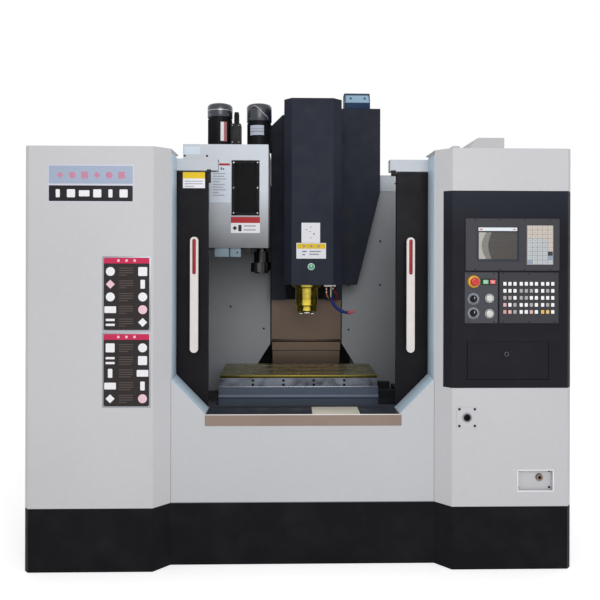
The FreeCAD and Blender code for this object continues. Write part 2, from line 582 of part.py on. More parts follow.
def servo(x, y, z, length, axis):
    """Square servo motor with a round encoder cap, its flange at (x, y, z)."""
    half = MOTOR_SIZE / 2
    body = Part.makeBox(MOTOR_SIZE, MOTOR_SIZE, length * 0.75, V(-half, -half, 0))
    body = bevelled(body, 12, Z_DIR)
    cap = bar(0, 0, length * 0.75, half * 0.8, length * 0.25, Z_DIR, 16)
    motor = body.fuse(cap)
    motor.Placement = FreeCAD.Placement(V(x, y, z), FreeCAD.Rotation(Z_DIR, axis))
    return motor


def base_motors():
    """Servos of the Y and Z axes; the Z servo stands on a tubular mount."""
    mount = block(AXIS_X, Z_SCREW_Y, COLUMN_TOP, MOTOR_SIZE, MOTOR_SIZE, 50)
    mount = mount.cut(bar(AXIS_X, Z_SCREW_Y, COLUMN_TOP - 1, 45, 52))
    return group([servo(AXIS_X, BED_FRONT, Y_SCREW_Z, Y_MOTOR_LENGTH, V(0, -1, 0)),
                  fuse([servo(AXIS_X, Z_SCREW_Y, COLUMN_TOP + 50, 200, Z_DIR), mount])])


def ball_screw(x, y, z, length, axis):
    """Screw with turned-down ends."""
    r, end = SCREW_R, 30.0
    at = V(x, y, z)
    core = cylinder(*(at + axis * end), r, length - 2 * end, axis)
    return fuse([core, bar(x, y, z, r - 4, length, axis)])


def x_ballscrew():
    length = SADDLE_LENGTH - 2
    return ball_screw(AXIS_X - length / 2, TABLE_Y, X_SCREW_Z, length, X_DIR)


def y_ballscrew():
    return ball_screw(AXIS_X, BED_FRONT + 2, Y_SCREW_Z, COLUMN_FRONT - 40 - BED_FRONT, Y_DIR)


def z_ballscrew():
    return ball_screw(AXIS_X, Z_SCREW_Y, 1122, COLUMN_TOP - 1124, Z_DIR)


# ================================================================ saddle and table
def truck(x, y, z0, z1, along_x, guide_top):
    """Guide carriage with its groove over the rail."""
    dx, dy = (TRUCK_LENGTH, TRUCK_WIDTH) if along_x else (TRUCK_WIDTH, TRUCK_LENGTH)
    body = block(x, y, z0, dx, dy, z1 - z0)
    groove = GUIDE_WIDTH + 2 * HAIR
    gx, gy = (dx + 2, groove) if along_x else (groove, dy + 2)
    return body.cut(block(x, y, z0 - 1, gx, gy, guide_top + HAIR - z0 + 1))


def saddle_casting():
    """Cross slide: trough for the X screw, lightening pockets, trucks and nut below."""
    x0, x1 = AXIS_X - SADDLE_LENGTH / 2, AXIS_X + SADDLE_LENGTH / 2
    y0, y1 = TABLE_Y - SADDLE_DEPTH / 2, TABLE_Y + SADDLE_DEPTH / 2
    body = box(x0, x1, y0, y1, SADDLE_LOW, SADDLE_TOP)
    trough = box(x0 + SCREW_BLOCK, x1 - SCREW_BLOCK, TABLE_Y - 70, TABLE_Y + 70,
                 X_SCREW_Z - 45, SADDLE_TOP + 1)
    bore = cylinder(x0 - 1, TABLE_Y, X_SCREW_Z, SCREW_R + RUNNING, SADDLE_LENGTH + 2, X_DIR)
    haunch = [prism_xz([(x, SADDLE_LOW - 1), (x, SADDLE_LOW + 70), (x + s * 190, SADDLE_LOW - 1)],
                       y0 - 1, y1 + 1) for x, s in ((x0 - 1, 1), (x1 + 1, -1))]
    body = body.cut([trough, bore] + haunch)
    trucks = [truck(x, TABLE_Y + s * TRUCK_SPREAD, BED_TOP + 8, SADDLE_LOW, False,
                    BED_TOP + GUIDE_HEIGHT) for x in GUIDE_X for s in (-1, 1)]
    nut = block(AXIS_X, TABLE_Y, Y_SCREW_Z - 30, 110, 90, SADDLE_LOW - Y_SCREW_Z + 30)
    nut = nut.cut(cylinder(AXIS_X, TABLE_Y - 60, Y_SCREW_Z, SCREW_R + RUNNING, 120, Y_DIR))
    g = GUIDE_WIDTH / 2
    rails = [box(x0, x1, y - g, y + g, SADDLE_TOP, SADDLE_TOP + GUIDE_HEIGHT) for y in GUIDE_Y]
    return fuse([body] + trucks + [nut] + rails)


def x_motor():
    return servo(AXIS_X + SADDLE_LENGTH / 2, TABLE_Y, X_SCREW_Z, 200, X_DIR)


def table():
    """Slotted table with a coolant gutter, tapped front edge, trucks and screw nut."""
    low = TABLE_TOP - TABLE_THICK
    top = block(TABLE_X, TABLE_Y, low, TABLE_LENGTH, TABLE_DEPTH, TABLE_THICK)
    cuts = []
    for i in range(SLOT_COUNT):
        y = TABLE_Y + (i - (SLOT_COUNT - 1) / 2) * SLOT_PITCH
        cuts.append(block(TABLE_X, y, TABLE_TOP - SLOT_NECK, TABLE_LENGTH + 2, SLOT_WIDTH,
                          SLOT_NECK + 1))
        cuts.append(block(TABLE_X, y, TABLE_TOP - SLOT_NECK - SLOT_FOOT, TABLE_LENGTH + 2,
                          SLOT_HEAD, SLOT_FOOT))
    front = TABLE_Y - TABLE_DEPTH / 2
    for i in range(4):
        x = TABLE_X + (i - 1.5) * STOP_HOLES_X
        for z in (low + 9, low + 34):
            cuts.append(bar(x, front - 1, z, 4, 16, Y_DIR, 6))
    trucks = [truck(TABLE_X + s * TRUCK_SPREAD, y, SADDLE_TOP + 8, low, True,
                    SADDLE_TOP + GUIDE_HEIGHT) for y in GUIDE_Y for s in (-1, 1)]
    nut = block(TABLE_X, TABLE_Y, X_SCREW_Z - 30, 90, 110, low - X_SCREW_Z + 30)
    nut = nut.cut(cylinder(TABLE_X - 60, TABLE_Y, X_SCREW_Z, SCREW_R + RUNNING, 120, X_DIR))
    return fuse([top.cut(cuts)] + trucks + [nut])


def table_guard():
    """Creased sheet that hangs from the table's front edge over the saddle's guides."""
    low = TABLE_TOP - TABLE_THICK
    front = TABLE_Y - TABLE_DEPTH / 2
    face = front - 2
    path = [(front + 18, low), (face, low), (face, low - 46), (face - 7, low - 58),
            (face, low - 70), (face, low - 140)]
    half = TABLE_LENGTH / 2 + 6
    return prism_yz(folded(path, 2), TABLE_X - half, TABLE_X + half)


# ================================================================ head
def head_casting():
    """Cast head: nose bracket, side ribs, guide trucks and the Z screw's nut."""
    x0, x1 = AXIS_X - HEAD_HALF, AXIS_X + HEAD_HALF
    front = SPINDLE_Y - 90
    side = [(front, NOSE_SEAT), (front, HEAD_DECK), (SPINDLE_Y + 130, HEAD_DECK),
            (CARRIAGE_FRONT, CARRIAGE_TOP), (CARRIAGE_FRONT, CARRIAGE_LOW),
            (CARRIAGE_FRONT - 110, CARRIAGE_LOW + 10), (SPINDLE_Y + 140, NOSE_SEAT)]
    body = prism_yz(side, x0, x1)
    pocket = prism_yz([(SPINDLE_Y + 180, NOSE_SEAT + 70), (SPINDLE_Y + 180, NOSE_SEAT + 270),
                       (CARRIAGE_FRONT - 40, CARRIAGE_TOP - 90),
                       (CARRIAGE_FRONT - 40, NOSE_SEAT + 10)], x0 - 1, x0 + 40)
    other = pocket.translated(V(2 * HEAD_HALF - 38, 0, 0))
    bore = cylinder(AXIS_X, SPINDLE_Y, NOSE_SEAT - 1, NOSE_R + RUNNING, 400)
    c0, c1 = AXIS_X - 200, AXIS_X + 200
    carriage = box(c0, c1, CARRIAGE_FRONT, CARRIAGE_BACK, CARRIAGE_LOW, CARRIAGE_TOP)
    stays = [box(a, b, COVER_BACK + 2, CARRIAGE_FRONT, z, z + 40)
             for a, b in ((c0 + 10, c0 + 40), (COVER_RIGHT - 10, c1)) for z in (1420, 1680)]
    guide_top = COLUMN_FRONT - GUIDE_HEIGHT
    trucks = []
    for x in GUIDE_Z_X:
        for z in (CARRIAGE_LOW + 20, CARRIAGE_TOP - 20 - TRUCK_LENGTH):
            body_y = (CARRIAGE_BACK + COLUMN_FRONT - 8) / 2
            depth = COLUMN_FRONT - 8 - CARRIAGE_BACK
            shoe = block(x, body_y, z, TRUCK_WIDTH, depth, TRUCK_LENGTH)
            groove = box(x - GUIDE_WIDTH / 2 - HAIR, x + GUIDE_WIDTH / 2 + HAIR,
                         guide_top - HAIR, COLUMN_FRONT + 1, z - 1, z + TRUCK_LENGTH + 1)
            trucks.append(shoe.cut(groove))
    nut = box(AXIS_X - 45, AXIS_X + 45, CARRIAGE_BACK, COLUMN_FRONT - 10, 1450, 1550)
    nut = nut.cut(cylinder(AXIS_X, Z_SCREW_Y, 1440, SCREW_R + RUNNING, 120))
    return fuse([body.cut([pocket, other, bore]), carriage] + stays + trucks + [nut])


def spindle_cartridge():
    """Turned housing with its seating flange and stepped nose."""
    top = NOSE_SEAT + 240
    r = NOSE_R
    body = many_sided([(r - 14, NOSE_LOW), (r - 6, NOSE_LOW + 8), (r - 6, NOSE_LOW + 34),
                       (r, NOSE_LOW + 40), (r, NOSE_SEAT - 26), (r + 18, NOSE_SEAT - 20),
                       (r + 18, NOSE_SEAT), (r, NOSE_SEAT), (r, top)], AXIS_X, SPINDLE_Y, 0,
                      Z_DIR, 24)
    return body.cut(cylinder(AXIS_X, SPINDLE_Y, NOSE_LOW - 1, SHAFT_R + RUNNING,
                             top - NOSE_LOW + 2))


def spindle_shaft():
    """Rotor with the tool taper, the gripper's bore and two drive keys."""
    low, top, coupling = NOSE_LOW - 8, NOSE_SEAT + 262, MOTOR_FLANGE - HAIR
    r, gripper, bore = SHAFT_R, low + TAPER_LENGTH + 35, 9
    small = TAPER_R - TAPER_LENGTH * 7 / 48
    body = fuse([cylinder(AXIS_X, SPINDLE_Y, low, r, top - low),
                 bar(AXIS_X, SPINDLE_Y, low, r + 4, NOSE_LOW - RUNNING - low, Z_DIR, 24),
                 bar(AXIS_X, SPINDLE_Y, top - 1, 24, coupling - top + 1, Z_DIR, 8)])
    hollow = turned([(0, low - 1), (TAPER_R, low - 1), (TAPER_R, low), (small, low + TAPER_LENGTH),
                     (bore, low + TAPER_LENGTH), (bore, gripper), (0, gripper)],
                    AXIS_X, SPINDLE_Y, 0)
    keys = [block(AXIS_X + s * (TAPER_R + 11), SPINDLE_Y, low - 7, 16, 15.9, 9) for s in (-1, 1)]
    return fuse([body.cut(hollow)] + keys)


def spindle_motor():
    """Square spindle motor on four posts above the cartridge."""
    low = MOTOR_FLANGE + 20
    body = bevelled(block(AXIS_X, SPINDLE_Y, low, 210, 210, 420), 14, Z_DIR)
    cap = bar(AXIS_X, SPINDLE_Y, low + 420, 88, 60, Z_DIR, 16)
    flange = block(AXIS_X, SPINDLE_Y, MOTOR_FLANGE, 230, 230, 20)
    posts = [bar(AXIS_X + a * 95, SPINDLE_Y + b * 62, HEAD_DECK, 14, MOTOR_FLANGE - HEAD_DECK,
                 Z_DIR, 6) for a in (-1, 1) for b in (-1, 1)]
    return fuse([flange, body, cap] + posts)


def head_cover():
    """Front sheet cover with slanted upright edges, open below and behind."""
    c = COVER_CHAMFER
    path = [(COVER_LEFT, COVER_BACK), (COVER_LEFT, COVER_FRONT + c), (COVER_LEFT + c - 3, COVER_FRONT),
            (COVER_RIGHT - c - 4, COVER_FRONT), (COVER_RIGHT, COVER_FRONT + c),
            (COVER_RIGHT, COVER_BACK)]
    shell = prism_xy(folded(path, 2), COVER_LOW, COVER_TOP)
    roof = prism_xy(path, COVER_TOP - 2, COVER_TOP)
    lip = prism_xy(folded(path, 14), COVER_LOW, COVER_LOW + 2)
    return fuse([shell, roof, lip])


def head_back_cover():
    """Rear shroud of the head: face round the front cover, sides and roof."""
    y0, y1, t = COVER_BACK, SHROUD_BACK, 2
    left, mid, right = SHROUD_LEFT, SHROUD_MID, SHROUD_RIGHT
    outline = [(left, SHROUD_LOW), (left, SHROUD_LEFT_TOP - 70), (left + 70, SHROUD_LEFT_TOP),
               (mid - 40, SHROUD_LEFT_TOP), (mid - 40, SHROUD_TOP), (right, SHROUD_TOP),
               (right, SHROUD_KNEE), (SHROUD_TOE_X, SHROUD_TOE_Z), (mid, SHROUD_TOE_Z),
               (mid, SHROUD_LOW)]
    inner = offset_path(outline[-1:] + outline + outline[:1], -t)[1:-1]
    shell = prism_xz(outline, y0, y1).cut(prism_xz(inner, y0 + t, y1 + 1))
    gap_left, gap_right = AXIS_X - HEAD_HALF - 2, AXIS_X + HEAD_HALF + 2
    opening = [box(COVER_LEFT + 12, COVER_RIGHT - 12, y0 - 1, y0 + t + 1, COVER_LOW + 14,
                   SHROUD_LEFT_TOP - 40),
               box(gap_left, gap_right, y0 - 1, y0 + t + 1, SHROUD_LOW - 1, COVER_LOW + 20),
               box(left + t, mid - t, y0 + t, y1 + 1, SHROUD_LOW - 1, SHROUD_LOW + t + 1)]
    return shell.cut(opening)


def cooler_box():
    """Cooling unit on the shroud: sloping face over a plain band."""
    y0, y1 = COVER_BACK + 6, SHROUD_BACK - 6
    top = COOLER_TOP
    side = [(y0, SHROUD_TOP), (y0, SHROUD_TOP + 36), (y0 + 26, top - 8), (y0 + 34, top),
            (y1, top), (y1, SHROUD_TOP)]
    return prism_yz(side, COOLER_LEFT, COOLER_RIGHT)


def way_cover(level, span):
    """One plate of the Z way cover: face and two side returns."""
    step = level * WAY_STEP
    x0, x1 = WAY_LEFT + level * 4.0, WAY_RIGHT - level * 4.0
    y = WAY_Y + step
    path = [(x0, y + WAY_RETURN - step), (x0, y), (x1, y), (x1, y + WAY_RETURN - step)]
    return prism_xy(folded(path, WAY_SHEET), *span)


def way_cover_fixed():
    """Lowest plate, with a shelf that bolts to the column."""
    shelf = box(WAY_LEFT + 8 + WAY_SHEET, WAY_RIGHT - 8 - WAY_SHEET, WAY_Y + 2 * WAY_STEP,
                COLUMN_FRONT, WAY_C[0], WAY_C[0] + 3)
    return way_cover(2, WAY_C).fuse(shelf).removeSplitter()


def coolant_nozzles():
    """Manifold pipe, short hose and a jointed plastic hose that ends in a nozzle."""
    x, y = AXIS_X + 145.0, SPINDLE_Y - 10
    manifold = box(AXIS_X + 100, AXIS_X + 175, y - 22, y + 22, NOSE_SEAT - 18, NOSE_SEAT)
    pipe = bar(x, y, NOSE_SEAT - 80, 6, 62, Z_DIR, 6)
    beads, px, pz = [], x, NOSE_SEAT - 80.0
    for i in range(8):
        angle = math.radians(12 + i * 10)
        direction = V(math.sin(angle), 0, -math.cos(angle))
        beads.append(many_sided([(11, 0), (8, 21)], px, y, pz, direction, 6))
        px, pz = px + 19 * direction.x, pz + 19 * direction.z
    angle = math.radians(100)
    direction = V(math.sin(angle), 0, -math.cos(angle))
    tip = many_sided([(13, 0), (5, 46)], px, y, pz, direction, 8)
    return fuse([manifold, pipe] + beads + [tip])


# ================================================================ tool changer
def magazine_housing():
    """Sheet cover of the tool magazine, open below, with a window in its front."""
    t = 3
    shell = box(MAG_LEFT, MAG_RIGHT, MAG_FRONT, MAG_BACK, MAG_LOW, MAG_TOP)
    shell = shell.cut(box(MAG_LEFT + t, MAG_RIGHT - t, MAG_FRONT + t, MAG_BACK - t,
                          MAG_LOW - 1, MAG_TOP - t))
    x0, x1, z0, z1 = window_opening()
    window = box(x0, x1, MAG_FRONT - 1, MAG_FRONT + t + 1, z0, z1)
    low, high = BEAM_SPAN
    beam = box(CAM_LEFT - HAIR, CAM_RIGHT + HAIR, MAG_BACK - t - 1, MAG_BACK + 1, low - HAIR,
               high + HAIR)
    return shell.cut([window, beam])


def window_opening():
    scale = (MAG_RIGHT - MAG_LEFT) / 87.3
    x0, x1 = MAG_LEFT + 52.5 * scale, MAG_LEFT + 75.5 * scale
    height = MAG_TOP - MAG_LOW
    return x0, x1, MAG_TOP - 0.66 * height, MAG_TOP - 0.18 * height


def magazine_window():
    """Smoked pane screwed over the window."""
    x0, x1, z0, z1 = window_opening()
    return box(x0 - 12, x1 + 12, MAG_FRONT - 4, MAG_FRONT, z0 - 12, z1 + 12)


def magazine_disc():
    """Carousel wheel with its ring of tool pots, turning about X."""
    rim = POT_CIRCLE + POT_R + 6
    hub_r = MAG_SHAFT_R + RUNNING
    x1 = CAM_LEFT - HAIR
    hub = x1 - DISC_FACE
    inwards = V(-1, 0, 0)
    wheel = many_sided([(70, 0), (70, hub), (rim, hub), (rim, hub + DISC_THICK)], x1, SPINDLE_Y,
                       MAG_AXIS_Z, inwards, 2 * POT_COUNT)
    windows = [bar(DISC_FACE - DISC_THICK - 1, *pot_place(i + 0.5, 135), 38, DISC_THICK + 2,
                   X_DIR, 6) for i in range(0, POT_COUNT, 2)]
    bore = cylinder(DISC_FACE - DISC_THICK - 1, SPINDLE_Y, MAG_AXIS_Z, hub_r,
                    hub + DISC_THICK + 2, X_DIR)
    wheel = wheel.cut(windows + [bore])
    pots = []
    for i in range(POT_COUNT):
        y, z = pot_place(i, POT_CIRCLE)
        x = DISC_FACE - DISC_THICK
        pot = bar(x, y, z, POT_R, POT_LENGTH, inwards, 8)
        mouth = many_sided([(POT_BORE - 9, 20), (POT_BORE, POT_LENGTH)], x, y, z, inwards, 8)
        pots.append(pot.cut(mouth))
    return fuse([wheel] + pots)


def pot_place(i, circle):
    angle = 2 * math.pi * i / POT_COUNT - math.pi / 2
    return SPINDLE_Y + circle * math.cos(angle), MAG_AXIS_Z + circle * math.sin(angle)


def arm_reach():
    return AXIS_X - ARM_X


def cam_box():
    """Indexing gearbox with the disc's shaft, the arm's bearing boss and its mount."""
    low = MAG_LOW + 4
    body = bevelled(box(CAM_LEFT, CAM_RIGHT, CAM_FRONT, CAM_BACK, low, MAG_TOP - 3), 12, Z_DIR)
    shaft = cylinder(DISC_FACE - DISC_THICK - 12, SPINDLE_Y, MAG_AXIS_Z, MAG_SHAFT_R,
                     CAM_LEFT - DISC_FACE + DISC_THICK + 12, X_DIR)
    well = cylinder(ARM_X, SPINDLE_Y, low - 1, ARM_HUB_R - 15 + RUNNING, 300)
    z0, z1 = BEAM_SPAN
    column_side = AXIS_X - COLUMN_WIDTH / 2
    end = COLUMN_FRONT + BEAM_LAP
    beam = box(CAM_LEFT, CAM_RIGHT, CAM_BACK, end, z0, z1)
    beam = beam.cut(box(CAM_LEFT + 25, CAM_RIGHT - 25, CAM_BACK + 30, end + 1, z0 + 25, z1 - 25))
    pad = box(CAM_RIGHT, column_side, COLUMN_FRONT + 10, end, z0, z1)
    return fuse([body.cut(well), shaft, beam, pad])


def atc_motors():
    """Magazine motor and arm motor, upright, with finned bodies and fan cowls."""
    motors = []
    z = MAG_TOP
    for x, cowl in ((MOTOR_1_X, 0.30), (MOTOR_2_X, 0.38)):
        r, h = MOTOR_R, MOTOR_HEIGHT
        joint = h * (1 - cowl)
        body = many_sided([(r, 0), (r, 14), (r - 5, 18), (r - 5, joint), (r, joint + 2),
                           (r, h - 26), (r - 22, h)], x, SPINDLE_Y, z, Z_DIR, 2 * FIN_COUNT)
        fin = box(r - 9, r + 1, -2, 2, 24, joint - 8)
        fins = []
        for k in range(FIN_COUNT):
            turn = FreeCAD.Rotation(Z_DIR, 360 * (k + 0.5) / FIN_COUNT)
            fins.append(fin.copy())
            fins[-1].Placement = FreeCAD.Placement(V(x, SPINDLE_Y, z), turn)
        motors.append(fuse([body] + fins))
    x0 = MOTOR_1_X + MOTOR_R - 8
    terminal = box(x0, x0 + 62, SPINDLE_Y - 45, SPINDLE_Y + 45, z + 42, z + 166)
    gland = bar(x0 + 34, SPINDLE_Y, z + 166, 13, 74, Z_DIR, 8)
    motors[0] = fuse([motors[0], terminal, gland])
    return group(motors)


def arm_shaft():
    """Plunging shaft of the change arm, with the keeper plate under the arm's hub."""
    low = ARM_LOW - 5
    shaft = cylinder(ARM_X, SPINDLE_Y, low, ARM_HUB_R - 15, MAG_LOW + 250 - low)
    return fuse([shaft, bar(ARM_X, SPINDLE_Y, low - 9, ARM_HUB_R - 3, 9)])


def tool_arm():
    """Double-ended change arm, parked along Y."""
    reach = arm_reach()
    low, high = ARM_LOW, ARM_LOW + ARM_THICK
    hub = bar(ARM_X, SPINDLE_Y, low - 5, ARM_HUB_R, ARM_THICK + 70, Z_DIR, 16)
    bore = cylinder(ARM_X, SPINDLE_Y, low - 6, ARM_HUB_R - 15 + RUNNING, ARM_THICK + 72)
    half = ARM_HUB_R - 11
    beam = prism_xy([(ARM_X - half, SPINDLE_Y - reach + 40), (ARM_X - half, SPINDLE_Y + reach - 40),
                     (ARM_X + half, SPINDLE_Y + reach - 40), (ARM_X + half, SPINDLE_Y - reach + 40)],
                    low, high)
    grips = []
    for s in (-1, 1):
        y = SPINDLE_Y + s * reach
        claw = bar(ARM_X, y, low, ARM_GRIP_R + 16, ARM_THICK, Z_DIR, 16)
        throat = bar(ARM_X, y, low - 1, ARM_GRIP_R, ARM_THICK + 2, Z_DIR, 16)
        mouth = box(ARM_X, ARM_X + 60, y - 26, y + 26, low - 1, high + 1) if s < 0 else \
            box(ARM_X - 60, ARM_X, y - 26, y + 26, low - 1, high + 1)
        grips.append(claw.cut([throat, mouth]))
        beam = beam.cut(throat)
    return fuse([hub, beam] + grips).cut(bore)


# ================================================================ control panel
def span_box(span, y0, y1, margin=0.0):
    """Block over an (x, x, z, z) span, shrunk by a margin."""
    x0, x1, z0, z1 = span
    return box(x0 + margin, x1 - margin, y0, y1, z0 + margin, z1 - margin)


def button_places():
    """(x, z, half-width, half-height) of every control in the operator plate."""
    places = [(*ESTOP, STEM_R, STEM_R)]
    places += [(*p, POWER_WIDTH / 2, POWER_HEIGHT / 2) for p in (POWER_ON, POWER_OFF)]
    places += [(*p, KNOB_STEM_R, KNOB_STEM_R) for p in KNOBS]
    places += [(*p, ROUND_R, ROUND_R) for p in ROUND_BUTTONS]
    return places


def control_housing():
    """Black folded panel with cut-outs, a rear box and the pocket behind the flap."""
    panel = prism_xy(folded(panel_path(), SHEET), PANEL_LOW, PANEL_TOP)
    rear, t = FRONT + PANEL_BOX_DEPTH, 2
    x0, x1, z0, z1 = SHOULDER_RIGHT + 15, WIDTH / 2 - 25, PANEL_LOW + 10, PANEL_TOP - 10
    inner = box(x0 + t, x1 - t, FRONT + SHEET, rear - t, z0 + t, z1 - t)
    case = box(x0, x1, FRONT + SHEET, rear, z0, z1)
    lap = box(x0, x1, FRONT + SHEET, FRONT + 2 * SHEET, PANEL_LOW - 12, PANEL_TOP + 12)
    fx0, fx1, fz0, fz1 = FLAP
    wall = 4
    pocket = box(fx0 - wall, fx1 + wall, FRONT + SHEET, FRONT + FLAP_DEPTH, fz0 - 2 * wall, fz1 + wall)
    panel = panel.fuse([case.fuse(lap).cut(inner), pocket])
    cuts = [span_box(span, FRONT - 1, FRONT + SHEET + 1, CUTOUT_MARGIN)
            for span in (CNC, PLATE, KEYS)]
    cuts.append(span_box(FLAP, FRONT - 1, FRONT + SHEET + 1, -HAIR))
    cuts.append(box(fx0, fx1, FRONT + SHEET, FRONT + FLAP_DEPTH - t, fz0 - wall, fz1))
    for x in (fx0 - wall, fx1):
        cuts.append(cylinder(x, FRONT + FLAP_PIN_Y, fz0 + FLAP_PIN_Z, FLAP_PIN_R + RUNNING, wall,
                             X_DIR))
    return panel.cut(cuts)


def cnc_unit():
    """Control unit: bezel with recessed screen and key field, case behind."""
    bezel = rounded(span_box(CNC, FRONT - BEZEL_THICK, FRONT), 6, Y_DIR)
    case = span_box(CNC, FRONT, FRONT + 60, CUTOUT_MARGIN + 1)
    screen = span_box(SCREEN, FRONT - BEZEL_THICK - 1, FRONT - BEZEL_THICK + 4)
    unit = fuse([bezel, case]).cut(screen)
    x0, x1, z0, z1 = KEYPAD
    unit = unit.cut(box(x0, x1, FRONT - BEZEL_THICK - 1, FRONT - BEZEL_THICK + 2, z0, z1))
    keys, columns, rows = [], 5, 9
    dx, dz = (x1 - x0 - 6) / columns, (z1 - z0 - 6) / rows
    for i in range(columns):
        for j in range(rows):
            kx, kz = x0 + 3 + (i + 0.5) * dx, z0 + 3 + (j + 0.5) * dz
            keys.append(block(kx, FRONT - BEZEL_THICK + 0.5, kz - dz / 2 + 1.5, dx - 3, 3, dz - 3))
    return unit.fuse(keys)


def display_glass():
    y = FRONT - BEZEL_THICK
    return span_box(SCREEN, y + 1.5, y + 4)


def operator_plate():
    """Plate that carries the switches, with a hole for each stem."""
    plate = rounded(span_box(PLATE, FRONT - PLATE_THICK, FRONT), 4, Y_DIR)
    cuts = []
    for x, z, half_x, half_z in button_places():
        if half_x == half_z:
            cuts.append(bar(x, FRONT - 2 * PLATE_THICK, z, half_x + 2 * HAIR, 20, Y_DIR, 16))
        else:
            cuts.append(box(x - half_x - HAIR, x + half_x + HAIR, FRONT - 2 * PLATE_THICK,
                            FRONT + 10, z - half_z - HAIR, z + half_z + HAIR))
    return plate.cut(cuts)


def key_membrane():
    """Moulded key field: its keys are raised pads of the same sheet."""
    plate = rounded(span_box(KEYS, FRONT - PLATE_THICK, FRONT), 4, Y_DIR)
    pads, x = [], KEY_FIRST_X
    for count in KEY_GROUPS:
        for _ in range(count):
            for row in range(KEY_ROWS):
                z = KEY_LOW_Z + row * KEY_ROW_PITCH
                pads.append(box(x - KEY_WIDTH / 2, x + KEY_WIDTH / 2,
                                FRONT - PLATE_THICK - KEY_RISE, FRONT - PLATE_THICK / 2,
                                z - KEY_HEIGHT / 2, z + KEY_HEIGHT / 2))
            x += KEY_PITCH
        x += KEY_GAP - KEY_PITCH
    return plate.fuse(pads).removeSplitter()


def estop_button():
    """Mushroom on its stem."""
    face = FRONT - PLATE_THICK
    reach = ESTOP_REACH - PLATE_THICK
    r = ESTOP_R
    return many_sided([(STEM_R, -22), (STEM_R, reach - 16), (r - 4, reach - 16), (r, reach - 10),
                       (r, reach - 5), (r - 6, reach)], ESTOP[0], face, ESTOP[1], V(0, -1, 0), 16)


def power_button(place):
    """Rectangular lighted button."""
    x, z = place
    body = box(x - POWER_WIDTH / 2, x + POWER_WIDTH / 2, FRONT - PLATE_THICK - BUTTON_HEIGHT,
               FRONT + 9, z - POWER_HEIGHT / 2, z + POWER_HEIGHT / 2)
    return rounded(body, 2, Y_DIR)


def round_button(place):
    r, h = ROUND_R, BUTTON_HEIGHT
    return many_sided([(r, -12), (r, h - 2), (r - 2, h)], place[0], FRONT - PLATE_THICK, place[1],
                      V(0, -1, 0), 16)


def override_knob(place):
    """Skirted pointer knob on its shaft."""
    x, z = place
    face = FRONT - PLATE_THICK
    r, h = KNOB_R, KNOB_HEIGHT
    stem = cylinder(x, face - h / 2, z, KNOB_STEM_R, h / 2 + 14, Y_DIR)
    body = many_sided([(r, HAIR), (r, 5), (r - 3, 7), (r - 4, h)], x, face, z, V(0, -1, 0))
    pointer = box(x - 1.5, x + 1.5, face - h - 1, face - h + 2, z, z + r - 5)
    return fuse([stem, body, pointer])


def panel_flap():
    """Hinged flap with folded edges, a round lock and two hinge pins."""
    x0, x1, z0, z1 = FLAP
    face = box(x0 + SEAM, x1 - SEAM, FRONT, FRONT + 2, z0 + SEAM, z1 - SEAM)
    edge = box(x0 + SEAM, x1 - SEAM, FRONT + 2, FRONT + 12, z0 + SEAM + 3, z1 - SEAM)
    edge = edge.cut(box(x0 + SEAM + 2, x1 - SEAM - 2, FRONT + 1, FRONT + 13, z0 + SEAM + 5,
                        z1 - SEAM - 2))
    pins = [cylinder(x, FRONT + FLAP_PIN_Y, z0 + FLAP_PIN_Z, FLAP_PIN_R, SEAM + 5, X_DIR)
            for x in (x0 - 3, x1 - SEAM - 2)]
    lock = bar((x0 + x1) / 2 - 8, FRONT - 4, z1 - 58, 11, 30, Y_DIR)
    return fuse([face, edge, lock] + pins)


# ================================================================ electrical cabinet
def electrical_cabinet():
    """Box open to the back, with devices on a plate, bed brackets and lower hinge halves."""
    t = 2
    shell = box(EBOX_LEFT, EBOX_RIGHT, EBOX_FRONT, BACK - EDOOR_THICK, EBOX_LOW, EBOX_TOP)
    shell = shell.cut(box(EBOX_LEFT + t, EBOX_RIGHT - t, EBOX_FRONT + t, BACK, EBOX_LOW + t,
                          EBOX_TOP - t))
    brackets = [box(x - 30, x + 30, BED_BACK, EBOX_FRONT, EBOX_LOW, BED_TOP)
                for x in (AXIS_X - 250, AXIS_X + 250)]
    hinges = [hinge_below(z) for z in HINGE_Z]
    return fuse([shell] + devices(EBOX_FRONT + t) + brackets + hinges)


def devices(y):
    """Three rows of switchgear on their rails, on a mounting plate."""
    x0, x1 = EBOX_LEFT + 60, EBOX_RIGHT - 60
    made = [box(x0, x1, y, y + DEVICE_RISE - 8, EBOX_LOW + 80, EBOX_TOP - 80)]
    pitch = (x1 - x0) / 3
    for row, z in enumerate((620, 1080, 1540)):
        made.append(box(x0, x1, y + DEVICE_RISE - 8, y + DEVICE_RISE, z + 60, z + 95))
        for i in range(3):
            wide = pitch - (60 if (row + i) % 2 else 110)
            made.append(block(x0 + (i + 0.5) * pitch, y + DEVICE_RISE + DEVICE_DEPTH / 2, z, wide,
                              DEVICE_DEPTH, 230))
    return made


def hinge_below(z):
    """Cabinet's half of a lift-off hinge: leaf, lower knuckle and pin."""
    leaf = box(EBOX_LEFT - HINGE_LEAF, EBOX_LEFT, BACK - 3 * EDOOR_THICK, BACK - EDOOR_THICK, z,
               z + HINGE_LENGTH)
    tongue = box(EBOX_LEFT - HINGE_LEAF, EBOX_LEFT - HAIR, BACK - EDOOR_THICK - 1, BACK, z,
                 z + HINGE_LENGTH)
    knuckle = bar(EBOX_LEFT, BACK, z, HINGE_R, HINGE_LENGTH)
    pin = cylinder(EBOX_LEFT, BACK, z + HINGE_LENGTH - 1, HINGE_PIN_R, HINGE_LENGTH * 0.8)
    return fuse([leaf, tongue, knuckle, pin])


